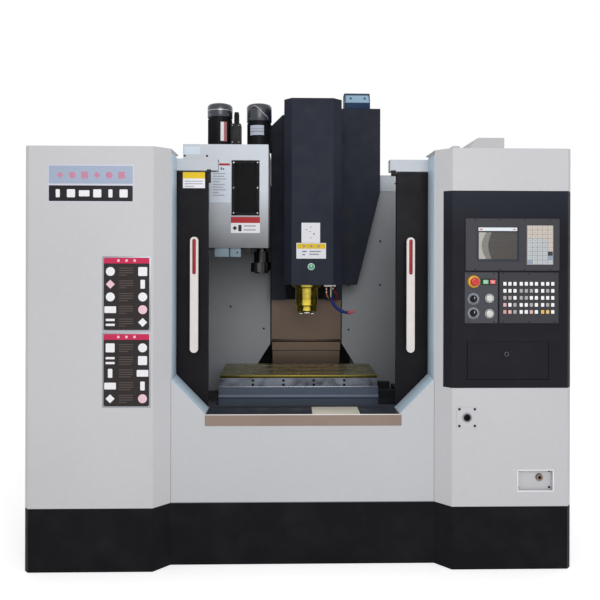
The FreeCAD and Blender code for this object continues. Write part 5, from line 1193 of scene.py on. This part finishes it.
def cooler_face():
    """Dark end cheek, pale sloping face and navy band of the unit on the shroud."""
    low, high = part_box("cooler_box")
    x0, x1, y, foot, thick = low.x, high.x, low.y, low.z, 0.003
    piece = Piece("cooler_face", "head", "cooler_blue", "Pale blue face", "Navy band",
                  "Olive-black cheek", "Dark round knob")
    piece.add(plate((x0 + 0.004, y - thick, foot + 0.002), (x1 - 0.004, y, foot + 0.035), 0.002,
                    0.0008), 1)
    slope = Vector((0, 0.026, 0.063)).normalized()
    normal = Vector((0, -slope.z, slope.y))

    def on_slope(x, up):
        return Vector((x, y, foot + 0.036)) + slope * up

    corners = [(x0 + 0.006, 0.003), (x1 - 0.006, 0.003), (x1 - 0.009, 0.058), (x0 + 0.009, 0.058)]
    piece.add(outline([on_slope(*corner) for corner in corners], normal * thick))
    for x in (x0 + 0.040, x1 - 0.034):
        piece.add(disc(on_slope(x, 0.034) + normal * thick, 0.0072, 0.004, normal), 3)
    piece.add(plate((x0, y - 0.001, foot), (x0 + 0.004, y + 0.020, foot + 0.036), 0.001, 0.0005), 2)
    piece.finish()


def hoses():
    """Copper pipe, its clips and a short dark-red hose on the nose bracket."""
    x, y = 0.201, -0.330
    piece = Piece("nose_pipes", "head", "ground_steel", "Copper pipe", "Dark red rubber",
                  "Zinc-plated steel")
    copper = ((-0.028, -0.019, 1.312), (-0.029, -0.020, 1.285), (-0.027, -0.021, 1.262),
              (-0.016, -0.021, 1.244), (-0.006, -0.014, 1.232))
    hose = ((0.008, -0.019, 1.314), (0.016, -0.021, 1.288), (0.030, -0.021, 1.272),
            (0.040, -0.016, 1.252), (0.034, -0.008, 1.236), (0.018, -0.004, 1.230))
    for tone, (line, radius) in enumerate(((copper, 0.0042), (hose, 0.0062))):
        piece.add(tube([(x + dx, y + dy, z) for dx, dy, z in line], radius), tone)
    for z in (1.300, 1.282):
        piece.add(ring((x - 0.028, y - 0.0195, z), 0.0072, 0.0040, 0.006, -Z_AXIS, steps=6), 2)
    piece.add(ring((x + 0.010, y - 0.0195, 1.305), 0.0092, 0.0058, 0.008, -Z_AXIS, steps=20), 2)
    piece.finish()


def coolant_line():
    """Manifold, pipe and jointed blue hose of ball links that ends in a red nozzle."""
    place, seat = Vector((0.201, -0.330, 1.250)), 1.330
    piece = Piece("coolant_line", "head", "hose_blue", "Blue hose link", "Zinc-plated steel",
                  "Red nozzle")
    piece.add(plate((0.156, -0.352, seat - 0.018), (0.231, -0.308, seat), 0.004, 0.001, Z_AXIS), 1)
    piece.add(turned([(0, 0), (0.006, 0), (0.006, 0.062), (0, 0.062)], place, Z_AXIS, 24), 1)
    link = [(0, 0), (0.0082, 0.0006), (0.0106, 0.003), (0.0110, 0.006), (0.0104, 0.0092),
            (0.0080, 0.0118), (0.0074, 0.0135), (0.0078, 0.0180), (0.0070, 0.0205), (0, 0.0208)]
    nozzle = [(0, 0), (0.0116, 0), (0.0130, 0.0020), (0.0130, 0.0090), (0.0112, 0.0130),
              (0.0086, 0.0180), (0.0060, 0.0360), (0.0050, 0.0460), (0.0032, 0.0460),
              (0.0034, 0.0300), (0, 0.0300)]
    for lean in range(12, 92, 10):
        way = Vector((math.sin(math.radians(lean)), 0, -math.cos(math.radians(lean))))
        piece.add(turned(link, place, way, 22))
        place = place + way * 0.019
    way = Vector((math.sin(math.radians(100)), 0, -math.cos(math.radians(100))))
    piece.add(turned(nozzle, place, way, 28), 2)
    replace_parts(piece.finish(), "coolant_nozzles")


# ---------------------------------------------------------------- tool changer
MOTOR_Y, MOTOR_Z = -0.320, 2.113                # axis and foot of the changer's two motors


def changer_labels():
    """Plain stickers on the changer's cover: pale sheet, red band and white field."""
    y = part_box("magazine_housing")[0].y
    face = y - FILM
    piece = Piece("changer_labels", "base", "plate_grey", "White print", "Red band print",
                  "Grey print", "Pale grey sheet", "Dark print", "Light top sheet")
    x0, x1, z0, z1 = -491, -375, 1790, 2010
    piece.add(front_field(x0, x1, z0, z1, y, FILM, 0.002, 0), 3)
    piece.add(front_field(x0 + 38, x1 - 6, z1 - 15, z1 - 3, face, PRINT, 0, 0), 1)
    piece.add(mark("tall", x0 + 62, z1 - 32, 12, face), 4)
    piece.add(mark("disc", x0 + 74, z1 - 34, 9, face), 4)
    for k, wide in enumerate((70, 62, 74, 40, 66, 58, 72, 30, 64)):
        z = z1 - 62 - k * 15
        piece.add(front_field(x0 + 16, x0 + 16 + wide, z, z + 4, face, FINE, 0, 0), 2)
    x0, x1 = -375, -214
    piece.add(front_field(x0, x1, 1677, 1710, y, FILM, 0.001, 0), 1)
    piece.add(front_field(x0, x1, 1621, 1676, y, FILM, 0.001, 0))
    piece.add(mark("diamond", x0 + 22, 1648, 26, face), 4)
    piece.add(mark("tall", x0 + 50, 1648, 36, face), 4)
    for z in (1660, 1638):
        piece.add(bar(x0 + 105, z, 33, 3, face, PRINT), 2)
    piece.add(front_field(-633, -547, 2056, 2100, y, 0.0004, 0.002, 0), 5)
    piece.finish()


def window_screws():
    """Six bright screws and the dark gasket of the changer's window."""
    low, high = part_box("magazine_window")
    y, width = low.y, 0.003
    piece = Piece("changer_window_screws", "base", "ground_steel", "Zinc-plated steel",
                  "Black rubber")
    for x, z in product((low.x + 0.008, high.x - 0.008),
                        spaced(low.z + 0.010, high.z - 0.010, 3)):
        piece.add(screw((x, y, z), radius=0.0052))
    for x0, x1, z0, z1 in border(low.x, high.x, low.z, high.z, width):
        piece.add(plate((x0, y + 0.001, z0), (x1, y + 0.004, z1), 0, 0.0008), 1)
    for x in (-0.631, -0.508):
        piece.add(screw((x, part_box("magazine_housing")[0].y, 2.048), radius=0.006), 1)
    piece.finish()


def stored_tools():
    """Tool holders in three of the sixteen pots behind the window, brassy with oil."""
    x, pots, radius = -0.476, 16, 0.222
    piece = Piece("stored_tools", "magazine", "ground_steel", "Dark holder steel", "Oily brass")
    for pot in (0, 3, 11):
        angle = math.tau * pot / pots - math.pi / 2
        y, z = -0.320 + radius * math.cos(angle), 1.826 + radius * math.sin(angle)
        piece.add(turned([(0, 0.070), (0.006, 0.070), (0.010, 0.066), (0.010, 0.034),
                          (0.018, 0.030), (0.018, 0.014), (0.031, 0.013), (0.0315, 0.009),
                          (0.029, 0.007), (0.0315, 0.005), (0.0315, 0.001), (0.0215, 0.001),
                          (0.014, -0.052), (0, -0.052)], (x, y, z), -X_AXIS, 28),
                  1 if pot else 0)
    piece.finish()


def motor_detail(name, x, cowl, bright):
    """Cowl with a domed lid, fins, screws and plain label of a changer motor."""
    y, z, radius, top, fins, points = MOTOR_Y, MOTOR_Z, 0.073, MOTOR_Z + 0.284, 24, 9
    joint = z + (top - z) * (1 - cowl)
    piece = Piece(name, "base", "motor_black", "Blue-black cowl", "Motor black",
                  "Zinc-plated steel", "White print" if bright else "Soiled label",
                  "Faded red print", "Grey print")
    lip, shoulder = joint + 0.004 - top, joint - z + 0.004
    piece.add(turned([(0.0735, lip), (0.0745, lip + 0.002), (0.0745, -0.0170),
                      (0.0728, -0.0120), (0.0660, -0.0040), (0.0560, -0.0006), (0.0, -0.0002),
                      (0, -0.004), (0.0500, -0.006), (0.0715, -0.020), (0.0735, lip)],
                     (x, y, top), Z_AXIS, 64))
    piece.add(turned([(0, 0), (0.073, 0), (0.073, 0.014), (0.0690, 0.0175), (0.0680, 0.019),
                      (0.0680, shoulder), (0, shoulder)], (x, y, z), Z_AXIS, 64), 1)
    for k in range(fins):
        fin = plate((x + 0.064, y - 0.0014, z + 0.018), (x + 0.0722, y + 0.0014, joint - 0.006),
                    0, 0.0007)
        turn = Matrix.Rotation(math.tau * (k + 0.5) / fins, 3, "Z")
        bmesh.ops.rotate(fin, cent=(x, y, z), matrix=turn, verts=fin.verts[:])
        piece.add(fin, 1)
    for place in circle(x, y, joint + 0.016, 0.0742, 4, 0.5):
        way = (place - Vector((x, y, place.z))).normalized()
        piece.add(screw(place, way, 0.0038), 2)
    if bright:
        piece.add(turned([(0.0745, -0.0085), (0.0754, -0.0078), (0.0754, -0.0042),
                          (0.0745, -0.0035), (0.0745, -0.0085)], (x, y, joint + 0.050),
                         Z_AXIS, 56), 2)
        first, last, low, high = 0.14, 0.66, 0.28, 0.86
        bands = ((0, 1, 4), (0.02, 0.98, 3))
    else:
        first, last, low, high = -0.74, 0.42, 0.53, 0.86
        bands = ((0, 1, 3), (0.30, 0.42, 5), (0.60, 0.66, 5))
    foot, height = z + (joint - z) * low, (joint - z) * (high - low)
    outer = []
    for angle in spaced(first - math.pi / 2, last - math.pi / 2, points):
        outer.append(((radius + 0.0016) * math.cos(angle), (radius + 0.0016) * math.sin(angle)))
    inner = [(a * 0.985, b * 0.985) for a, b in reversed(outer)]
    for k, (start, end, tone) in enumerate(bands):
        proud = 1 + 0.004 * k
        sector = outer[:5] + inner[4:] if bright and k else outer + inner
        shape = [(x + a * proud, y + b * proud, foot + height * start) for a, b in sector]
        piece.add(outline(shape, (0, 0, height * (end - start)), 0), tone)
    return piece.finish()


def motor_details():
    """The changer's two motors, with the terminal box, gland and strap between them."""
    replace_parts(motor_detail("changer_motor_1", -0.465, 0.30, True), "atc_motors")
    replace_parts(motor_detail("changer_motor_2", -0.231, 0.38, False), "atc_motors")
    x, y, z, front, gland = -0.400, MOTOR_Y, MOTOR_Z, -0.365, MOTOR_Z + 0.240
    piece = Piece("motor_terminals", "base", "motor_black", "Black plastic", "Zinc-plated steel")
    piece.add(plate((x, front, z + 0.042), (x + 0.062, -0.275, z + 0.166), 0.004, 0.0015))
    piece.add(turned([(0, 0), (0.0135, 0), (0.0140, -0.012), (0.0155, -0.014), (0.0155, -0.030),
                      (0.0142, -0.032), (0.0142, -0.073), (0, -0.073)],
                     (x + 0.034, y, gland), Z_AXIS, 8))
    for k in range(3):
        piece.add(ring((x + 0.034, y, gland - 0.040 - k * 0.011), 0.0166, 0.0130, 0.004,
                       Z_AXIS, steps=24))
    lid = front - 0.004
    piece.add(plate((x + 0.006, lid, z + 0.048), (x + 0.056, front, z + 0.160), 0.004, 0.001))
    for a, b in product((0.012, 0.050), (0.054, 0.154)):
        piece.add(screw((x + a, lid, z + b), radius=0.0032), 1)
    strap = [(-0.272, -0.384, 2.372), (-0.262, -0.397, 2.376), (-0.246, -0.402, 2.374),
             (-0.222, -0.399, 2.350), (-0.196, -0.390, 2.326), (-0.178, -0.377, 2.312)]
    piece.add(tube(strap, 0.0028, 5, 3), 1)
    piece.finish()


def changer_brackets():
    """Light blue-grey brackets and the dark sensor block under the changer's cover."""
    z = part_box("magazine_housing")[0].z
    front, back = -0.598, -0.560
    piece = Piece("changer_brackets", "base", "plate_grey", "Blue-grey bracket",
                  "Black sensor block", "Blackened screw steel")
    for x0, x1 in ((-0.466, -0.386), (-0.380, -0.321)):
        piece.add(plate((x0, front, z - 0.047), (x1, -0.594, z + 0.02), 0.0012))
        piece.add(plate((x0, front, z - 0.050), (x1, back, z - 0.047), 0.0012, axis=Z_AXIS))
    piece.add(screw((-0.340, front, z - 0.026), radius=0.005), 2)
    piece.add(plate((-0.300, -0.600, z - 0.034), (-0.262, back, z + 0.004), 0.003, 0.001), 1)
    piece.add(plate((-0.505, -0.604, z - 0.012), (-0.468, -0.590, z + 0.004), 0.002, 0.0008), 1)
    piece.finish()


def arm_details():
    """Bolts and grip jaws of the change arm."""
    x, y, top, reach = -0.216, -0.320, 1.455, 0.272
    piece = Piece("arm_jaws", "arm", "ground_steel", "Blackened screw steel", "Black jaw")
    for end in (-1, 1):
        grip = y + end * reach
        for side in (-1, 1):
            piece.add(screw((x + side * 0.026, grip - end * 0.060, top), Z_AXIS, 0.006))
        piece.add(plate((x + end * 0.046, grip - 0.012, 1.404),
                        (x + end * 0.034, grip + 0.012, 1.409), 0.002, 0.0008, Z_AXIS), 1)
    for place in circle(x, y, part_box("tool_arm")[1].z, 0.038, 6):
        piece.add(screw(place, Z_AXIS, 0.0034))
    piece.finish()


# ---------------------------------------------------------------- table and slides
def table_detail():
    """Oiled front edge of the table and the rims of the screw holes under it, with painted shade in
    the holes.
    """
    low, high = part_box("table")
    front = low.y
    piece = Piece("table_detail", "table", "ground_steel", "Oiled edge", "Hole rim", "Dark hole")
    piece.add(plate((low.x + 0.002, front - 0.0008, 0.7970), (high.x - 0.002, front, 0.8125), 0,
                    0.0003))
    for i, z in product(range(4), (0.758, 0.783)):
        x = 0.005 + (i - 1.5) * 0.174
        piece.add(ring((x, front, z), 0.0082, 0.0055, 0.0008, edge=0.0003, steps=20), 1)
        # painted shade: a dark disc stands for the inside of each hole
        piece.add(disc((x, front, z), 0.0056, 0.0004, edge=0.0001, steps=16), 2)
    piece.finish()


def guard_edge():
    """Painted highlight: a bright strip along the top edge of the table guard, where its lip
    catches the light.
    """
    low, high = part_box("table_guard")
    piece = Piece("guard_edge", "table", "guard_blue", "Worn guard edge")
    # painted highlight along the guard's top lip
    piece.add(plate((low.x + 0.001, -0.5128, high.z - 0.0065), (high.x - 0.001, -0.512, high.z),
                    0, 0.0003))
    piece.finish()


def way_cover_wipers():
    """Black wiper lip at the foot of two way covers, under a screwed strip on the upper one."""
    proud = 0.0022
    for node, body, front in (("way_cover_upper", "head", -0.0015),
                              ("way_cover_middle", "way_middle", 0.0002)):
        low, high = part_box(node)
        x0, x1, y, z = low.x + 0.003, high.x - 0.003, low.y + front, low.z
        piece = Piece(node + "_wiper", body, "button_black", "Black rubber", "Wiper strip steel")
        piece.add(plate((x0, y, z - 0.004), (x1, y + 0.0012, z), 0, 0.0003))
        if body == "head":
            piece.add(plate((x0, low.y - proud, z), (x1, low.y, z + 0.016), 0, proud * 0.3), 1)
            for x in spaced(low.x + 0.04, high.x - 0.04, 5):
                piece.add(screw((x, low.y - proud, z + 0.008), radius=0.003), 1)
        piece.finish()


def column_detail():
    """Base bolts of the column and the screws at the foot of the Z motor."""
    piece = Piece("column_bolts", "base", "ground_steel", "Blackened screw steel")
    for x, k in product((-0.175, 0.287), range(4)):
        piece.add(hex_bolt((x, 0.25 + k * 0.12, 0.520), Z_AXIS, 0.013, 0.012))
    for a, b in product((-0.054, 0.054), repeat=2):
        piece.add(screw((0.056 + a, 0.150 + b, 2.500), Z_AXIS, 0.005))
    piece.finish()


# ---------------------------------------------------------------- electrical cabinet
def cabinet_door_detail():
    """Filter grille and edge screws of the electrical door."""
    left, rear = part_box("electrical_door")[0].x, 1.150
    x, z, half, slat = 0.056, 1.72, 0.125, rear + 0.006
    piece = Piece("cabinet_door_fittings", "cabinet_door", "button_black", "Black grille",
                  "Zinc-plated steel")
    piece.add(plate((x - half, rear, z - half), (x + half, slat, z + half), 0.012, 0.002))
    for k in range(11):
        level = z - half + 0.028 + k * 0.0195
        piece.add(plate((x - half + 0.018, slat, level - 0.0045),
                        (x + half - 0.018, slat + 0.006, level + 0.0045), 0, 0.0022))
    for level, k in product((0.47, 1.95), range(4)):
        piece.add(screw((left + 0.10 + k * 0.26, rear, level), Y_AXIS), 1)
    piece.finish()


def cabinet_glands():
    """Cable glands under the electrical cabinet and a lifting eye at each top corner."""
    low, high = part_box("electrical_cabinet")
    piece = Piece("cabinet_glands", "base", "button_black", "Black plastic", "Zinc-plated steel")
    for k in range(6):
        piece.add(turned([(0.010, -0.034), (0.0145, -0.030), (0.016, -0.018), (0.019, -0.016),
                          (0.019, 0), (0, 0), (0, -0.030), (0.010, -0.034)],
                         (-0.30 + k * 0.10, 0.99, low.z), Z_AXIS, 16))
    for x, y in product((low.x + 0.05, high.x - 0.05), (low.y + 0.05, 1.07)):
        piece.add(turned([(0, 0), (0.013, 0), (0.013, 0.003), (0.008, 0.006), (0.008, 0.009),
                          (0, 0.009)], (x, y, high.z), Z_AXIS, 20), 1)
    piece.finish()


# ---------------------------------------------------------------- stage
def white_to_the_eye(tree):
    """1 for rays from the camera, reflections and glass, 0 for the light on the object."""
    path = tree.nodes.new("ShaderNodeLightPath")
    total = path.outputs["Is Camera Ray"]
    for name in ("Is Glossy Ray", "Is Transmission Ray"):
        joined = tree.nodes.new("ShaderNodeMath")
        joined.operation = "MAXIMUM"
        tree.links.new(total, joined.inputs[0])
        tree.links.new(path.outputs[name], joined.inputs[1])
        total = joined.outputs[0]
    return total


def light_world(level):
    """White surroundings that light the machine less than they show."""
    world = bpy.data.worlds.new("Studio")
    bpy.context.scene.world = world
    world.use_nodes = True
    tree = world.node_tree
    mixed = tree.nodes.new("ShaderNodeMixShader")
    tree.links.new(white_to_the_eye(tree), mixed.inputs["Fac"])
    seen = tree.nodes.new("ShaderNodeBackground")
    for slot, lamp, strength in ((1, tree.nodes["Background"], level), (2, seen, 1.0)):
        lamp.inputs["Color"].default_value = (1, 1, 1, 1)
        lamp.inputs["Strength"].default_value = strength
        tree.links.new(lamp.outputs[0], mixed.inputs[slot])
    tree.links.new(mixed.outputs[0], tree.nodes["World Output"].inputs["Surface"])


def placed(name, data, place=(0, 0, 0), turn=(0, 0, 0)):
    """Puts new data into the scene as an object."""
    holder = bpy.data.objects.new(name, data)
    bpy.context.scene.collection.objects.link(holder)
    holder.location, holder.rotation_euler = place, turn
    return holder


def pale_floor():
    """Round pale floor that keeps the machine's shadow."""
    shape = bmesh.new()
    bmesh.ops.create_circle(shape, cap_ends=True, radius=14.0, segments=96)
    bmesh.ops.translate(shape, vec=(0, 0, -0.0005), verts=shape.verts[:])
    mesh = bpy.data.meshes.new("floor")
    shape.to_mesh(mesh)
    shape.free()
    s = Surface("Pale floor", (244, 244, 245), 0.9, specular=0.1).shaded((0.8,), 0.006)
    s.set("Emission Color", (1, 1, 1, 1))
    s.set("Emission Strength", s.sums("MULTIPLY", white_to_the_eye(s.tree), 0.47))
    mesh.materials.append(s.material)
    floor = placed("floor", mesh)


def soft_lamp(name, place, target, size, power):
    """Large square lamp that looks at a point."""
    lamp = bpy.data.lights.new(name, "AREA")
    lamp.shape, lamp.size, lamp.energy = "SQUARE", size, power
    way = Vector(target) - Vector(place)
    placed(name, lamp, place, way.to_track_quat("-Z", "Y").to_euler())


def front_camera():
    """Camera in front of the machine, a little left of the middle, as in the photo."""
    camera = bpy.data.cameras.new("front_view")
    camera.sensor_width, camera.lens = 36.0, sizes().camera_lens
    camera.shift_y, camera.clip_end = -0.0719, 60.0
    turn = [math.radians(angle) for angle in (90, -0.138, -1.207)]
    bpy.context.scene.camera = placed("front_view", camera, (-0.068, -4.272, 1.489), turn)


# ---------------------------------------------------------------- operators
def dress(name, nodes):
    """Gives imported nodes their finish."""
    for node in nodes.split():
        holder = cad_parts[node]
        if not holder.material_slots:
            holder.data.materials.append(material(name))
        for slot in holder.material_slots:
            slot.material = material(name)


class Step:
    """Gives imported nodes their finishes, then makes the step's new pieces."""
    finishes, pieces = {}, ()

    def execute(self, context):
        for name, nodes in self.finishes.items():
            dress(name, nodes)
        for make in self.pieces:
            make()
        return {"FINISHED"}


class MACHINE_OT_enclosure(Step, bpy.types.Operator):
    """Paint the enclosure and add its plates, covers, screws and sealant"""
    bl_idname = "machine.enclosure"
    bl_label = "Enclosure"
    finishes = {"Cabinet paint": "left_cabinet right_cabinet", "Apron paint": "front_apron",
                "Polished sill strip": "sill_strip", "Plinth paint": "plinth_skirts",
                "Splash wall paint": "splash_wall_left splash_wall_right",
                "Rail cover paint": "door_rails"}
    pieces = (name_fields, shape_plates, socket_detail, hatch_detail, wall_screws, slant_trims,
              ledge_plate, wall_bands, rear_panel_screws, roof_detail, seam_lines)


class MACHINE_OT_doors(Step, bpy.types.Operator):
    """Finish the sliding doors, with gaskets, handle inlays and rail brackets"""
    bl_idname = "machine.doors"
    bl_label = "Sliding doors"
    finishes = {"Door paint": "door_left door_right",
                "Door pane": "door_window_left door_window_right",
                "Cream handle": "door_handle_left door_handle_right"}
    pieces = (handle_inlays, door_gaskets, door_label, door_stops)


class MACHINE_OT_controls(Step, bpy.types.Operator):
    """Finish the operator panel: screen, keys, dials, buttons and flap"""
    bl_idname = "machine.controls"
    bl_label = "Operator panel"
    finishes = {"Control panel paint": "control_housing panel_flap",
                "Control unit grey": "cnc_unit", "Display glass": "display_glass",
                "Operator plate grey": "operator_plate", "Key field grey": "key_membrane",
                "Lighted green": "power_on_button", "Lighted red": "power_off_button"}
    pieces = (screen_picture, keypad_caps, bezel_screws, key_field, estop_collar, estop_mushroom,
              dial_scales, override_knobs, button_rims, power_button_marks, flap_lock)


class MACHINE_OT_head(Step, bpy.types.Operator):
    """Finish the head: covers, labels, sight glass, nose, hoses and cooling unit"""
    bl_idname = "machine.head"
    bl_label = "Head and spindle"
    finishes = {"Head cover paint": "head_cover head_back_cover",
                "Casting enamel": "head_casting", "Cooling unit paint": "cooler_box",
                "Bright ground steel": "spindle_shaft", "Motor black": "spindle_motor"}
    pieces = (head_labels, sight_glass, spindle_nose_bands, cover_seams, cooler_face, hoses,
              coolant_line)


class MACHINE_OT_changer(Step, bpy.types.Operator):
    """Finish the tool changer: cover, window, stored tools, motors and arm"""
    bl_idname = "machine.changer"
    bl_label = "Tool changer"
    finishes = {"Changer cover paint": "magazine_housing", "Smoked pane": "magazine_window",
                "Pot plastic": "magazine_disc", "Casting enamel": "cam_box",
                "Oiled shaft steel": "arm_shaft", "Dark arm steel": "tool_arm"}
    pieces = (changer_labels, window_screws, stored_tools, motor_details, changer_brackets,
              arm_details)


class MACHINE_OT_slides(Step, bpy.types.Operator):
    """Finish the table, its guard, the way covers and the castings"""
    bl_idname = "machine.slides"
    bl_label = "Table and slides"
    finishes = {"Oiled table iron": "table", "Guard paint": "table_guard",
                "Casting enamel": "saddle_casting bed_casting column_casting",
                "Way cover steel": "way_cover_upper way_cover_middle way_cover_fixed",
                "Bright ground steel": "base_rails x_ballscrew y_ballscrew z_ballscrew",
                "Blackened foot steel": "levelling_feet", "Motor black": "base_motors x_motor"}
    pieces = (table_detail, guard_edge, way_cover_wipers, column_detail)


class MACHINE_OT_rear(Step, bpy.types.Operator):
    """Finish the electrical cabinet, with its door fittings, glands and eyes"""
    bl_idname = "machine.rear"
    bl_label = "Electrical cabinet"
    finishes = {"Rear cabinet paint": "electrical_cabinet", "Cabinet paint": "electrical_door",
                "Black latch": "door_latch"}
    pieces = (cabinet_door_detail, cabinet_glands)


class MACHINE_OT_stage(bpy.types.Operator):
    """Set the floor, the soft light and the camera"""
    bl_idname = "machine.stage"
    bl_label = "Stage"

    def execute(self, context):
        context.scene.view_settings.view_transform = "Standard"
        light_world(level=0.60)
        pale_floor()
        soft_lamp("front_lamp", (0.4, -5.8, 3.0), (0.0, -0.4, 1.2), size=3.0, power=112)
        front_camera()
        return {"FINISHED"}


STEPS = (MACHINE_OT_enclosure, MACHINE_OT_doors, MACHINE_OT_controls, MACHINE_OT_head,
         MACHINE_OT_changer, MACHINE_OT_slides, MACHINE_OT_rear, MACHINE_OT_stage)


class MACHINE_PT_sidebar(bpy.types.Panel):
    """Lists the steps with the sizes and colours that they use"""
    bl_idname = "MACHINE_PT_sidebar"
    bl_label = "Machining Centre"
    bl_space_type = "VIEW_3D"
    bl_region_type = "UI"
    bl_category = "Machine"

    def draw(self, context):
        for group in (context.scene.machine_sizes, context.scene.machine_colours):
            column = self.layout.column()
            for name in group.bl_rna.properties.keys():
                if name not in ("rna_type", "name"):
                    column.prop(group, name)
        column = self.layout.column()
        for step in STEPS:
            column.operator(step.bl_idname)


CLASSES = (MachineColours, MachineSizes, *STEPS, MACHINE_PT_sidebar)


def register():
    for kind in CLASSES:
        bpy.utils.register_class(kind)
    bpy.types.Scene.machine_sizes = PointerProperty(type=MachineSizes)
    bpy.types.Scene.machine_colours = PointerProperty(type=MachineColours)


def unregister():
    del bpy.types.Scene.machine_colours
    del bpy.types.Scene.machine_sizes
    for kind in reversed(CLASSES):
        bpy.utils.unregister_class(kind)


def main():
    register()
    bpy.ops.machine.enclosure()
    bpy.ops.machine.doors()
    bpy.ops.machine.controls()
    bpy.ops.machine.head()
    bpy.ops.machine.changer()
    bpy.ops.machine.slides()
    bpy.ops.machine.rear()
    bpy.ops.machine.stage()


if __name__ == "__main__":
    main()
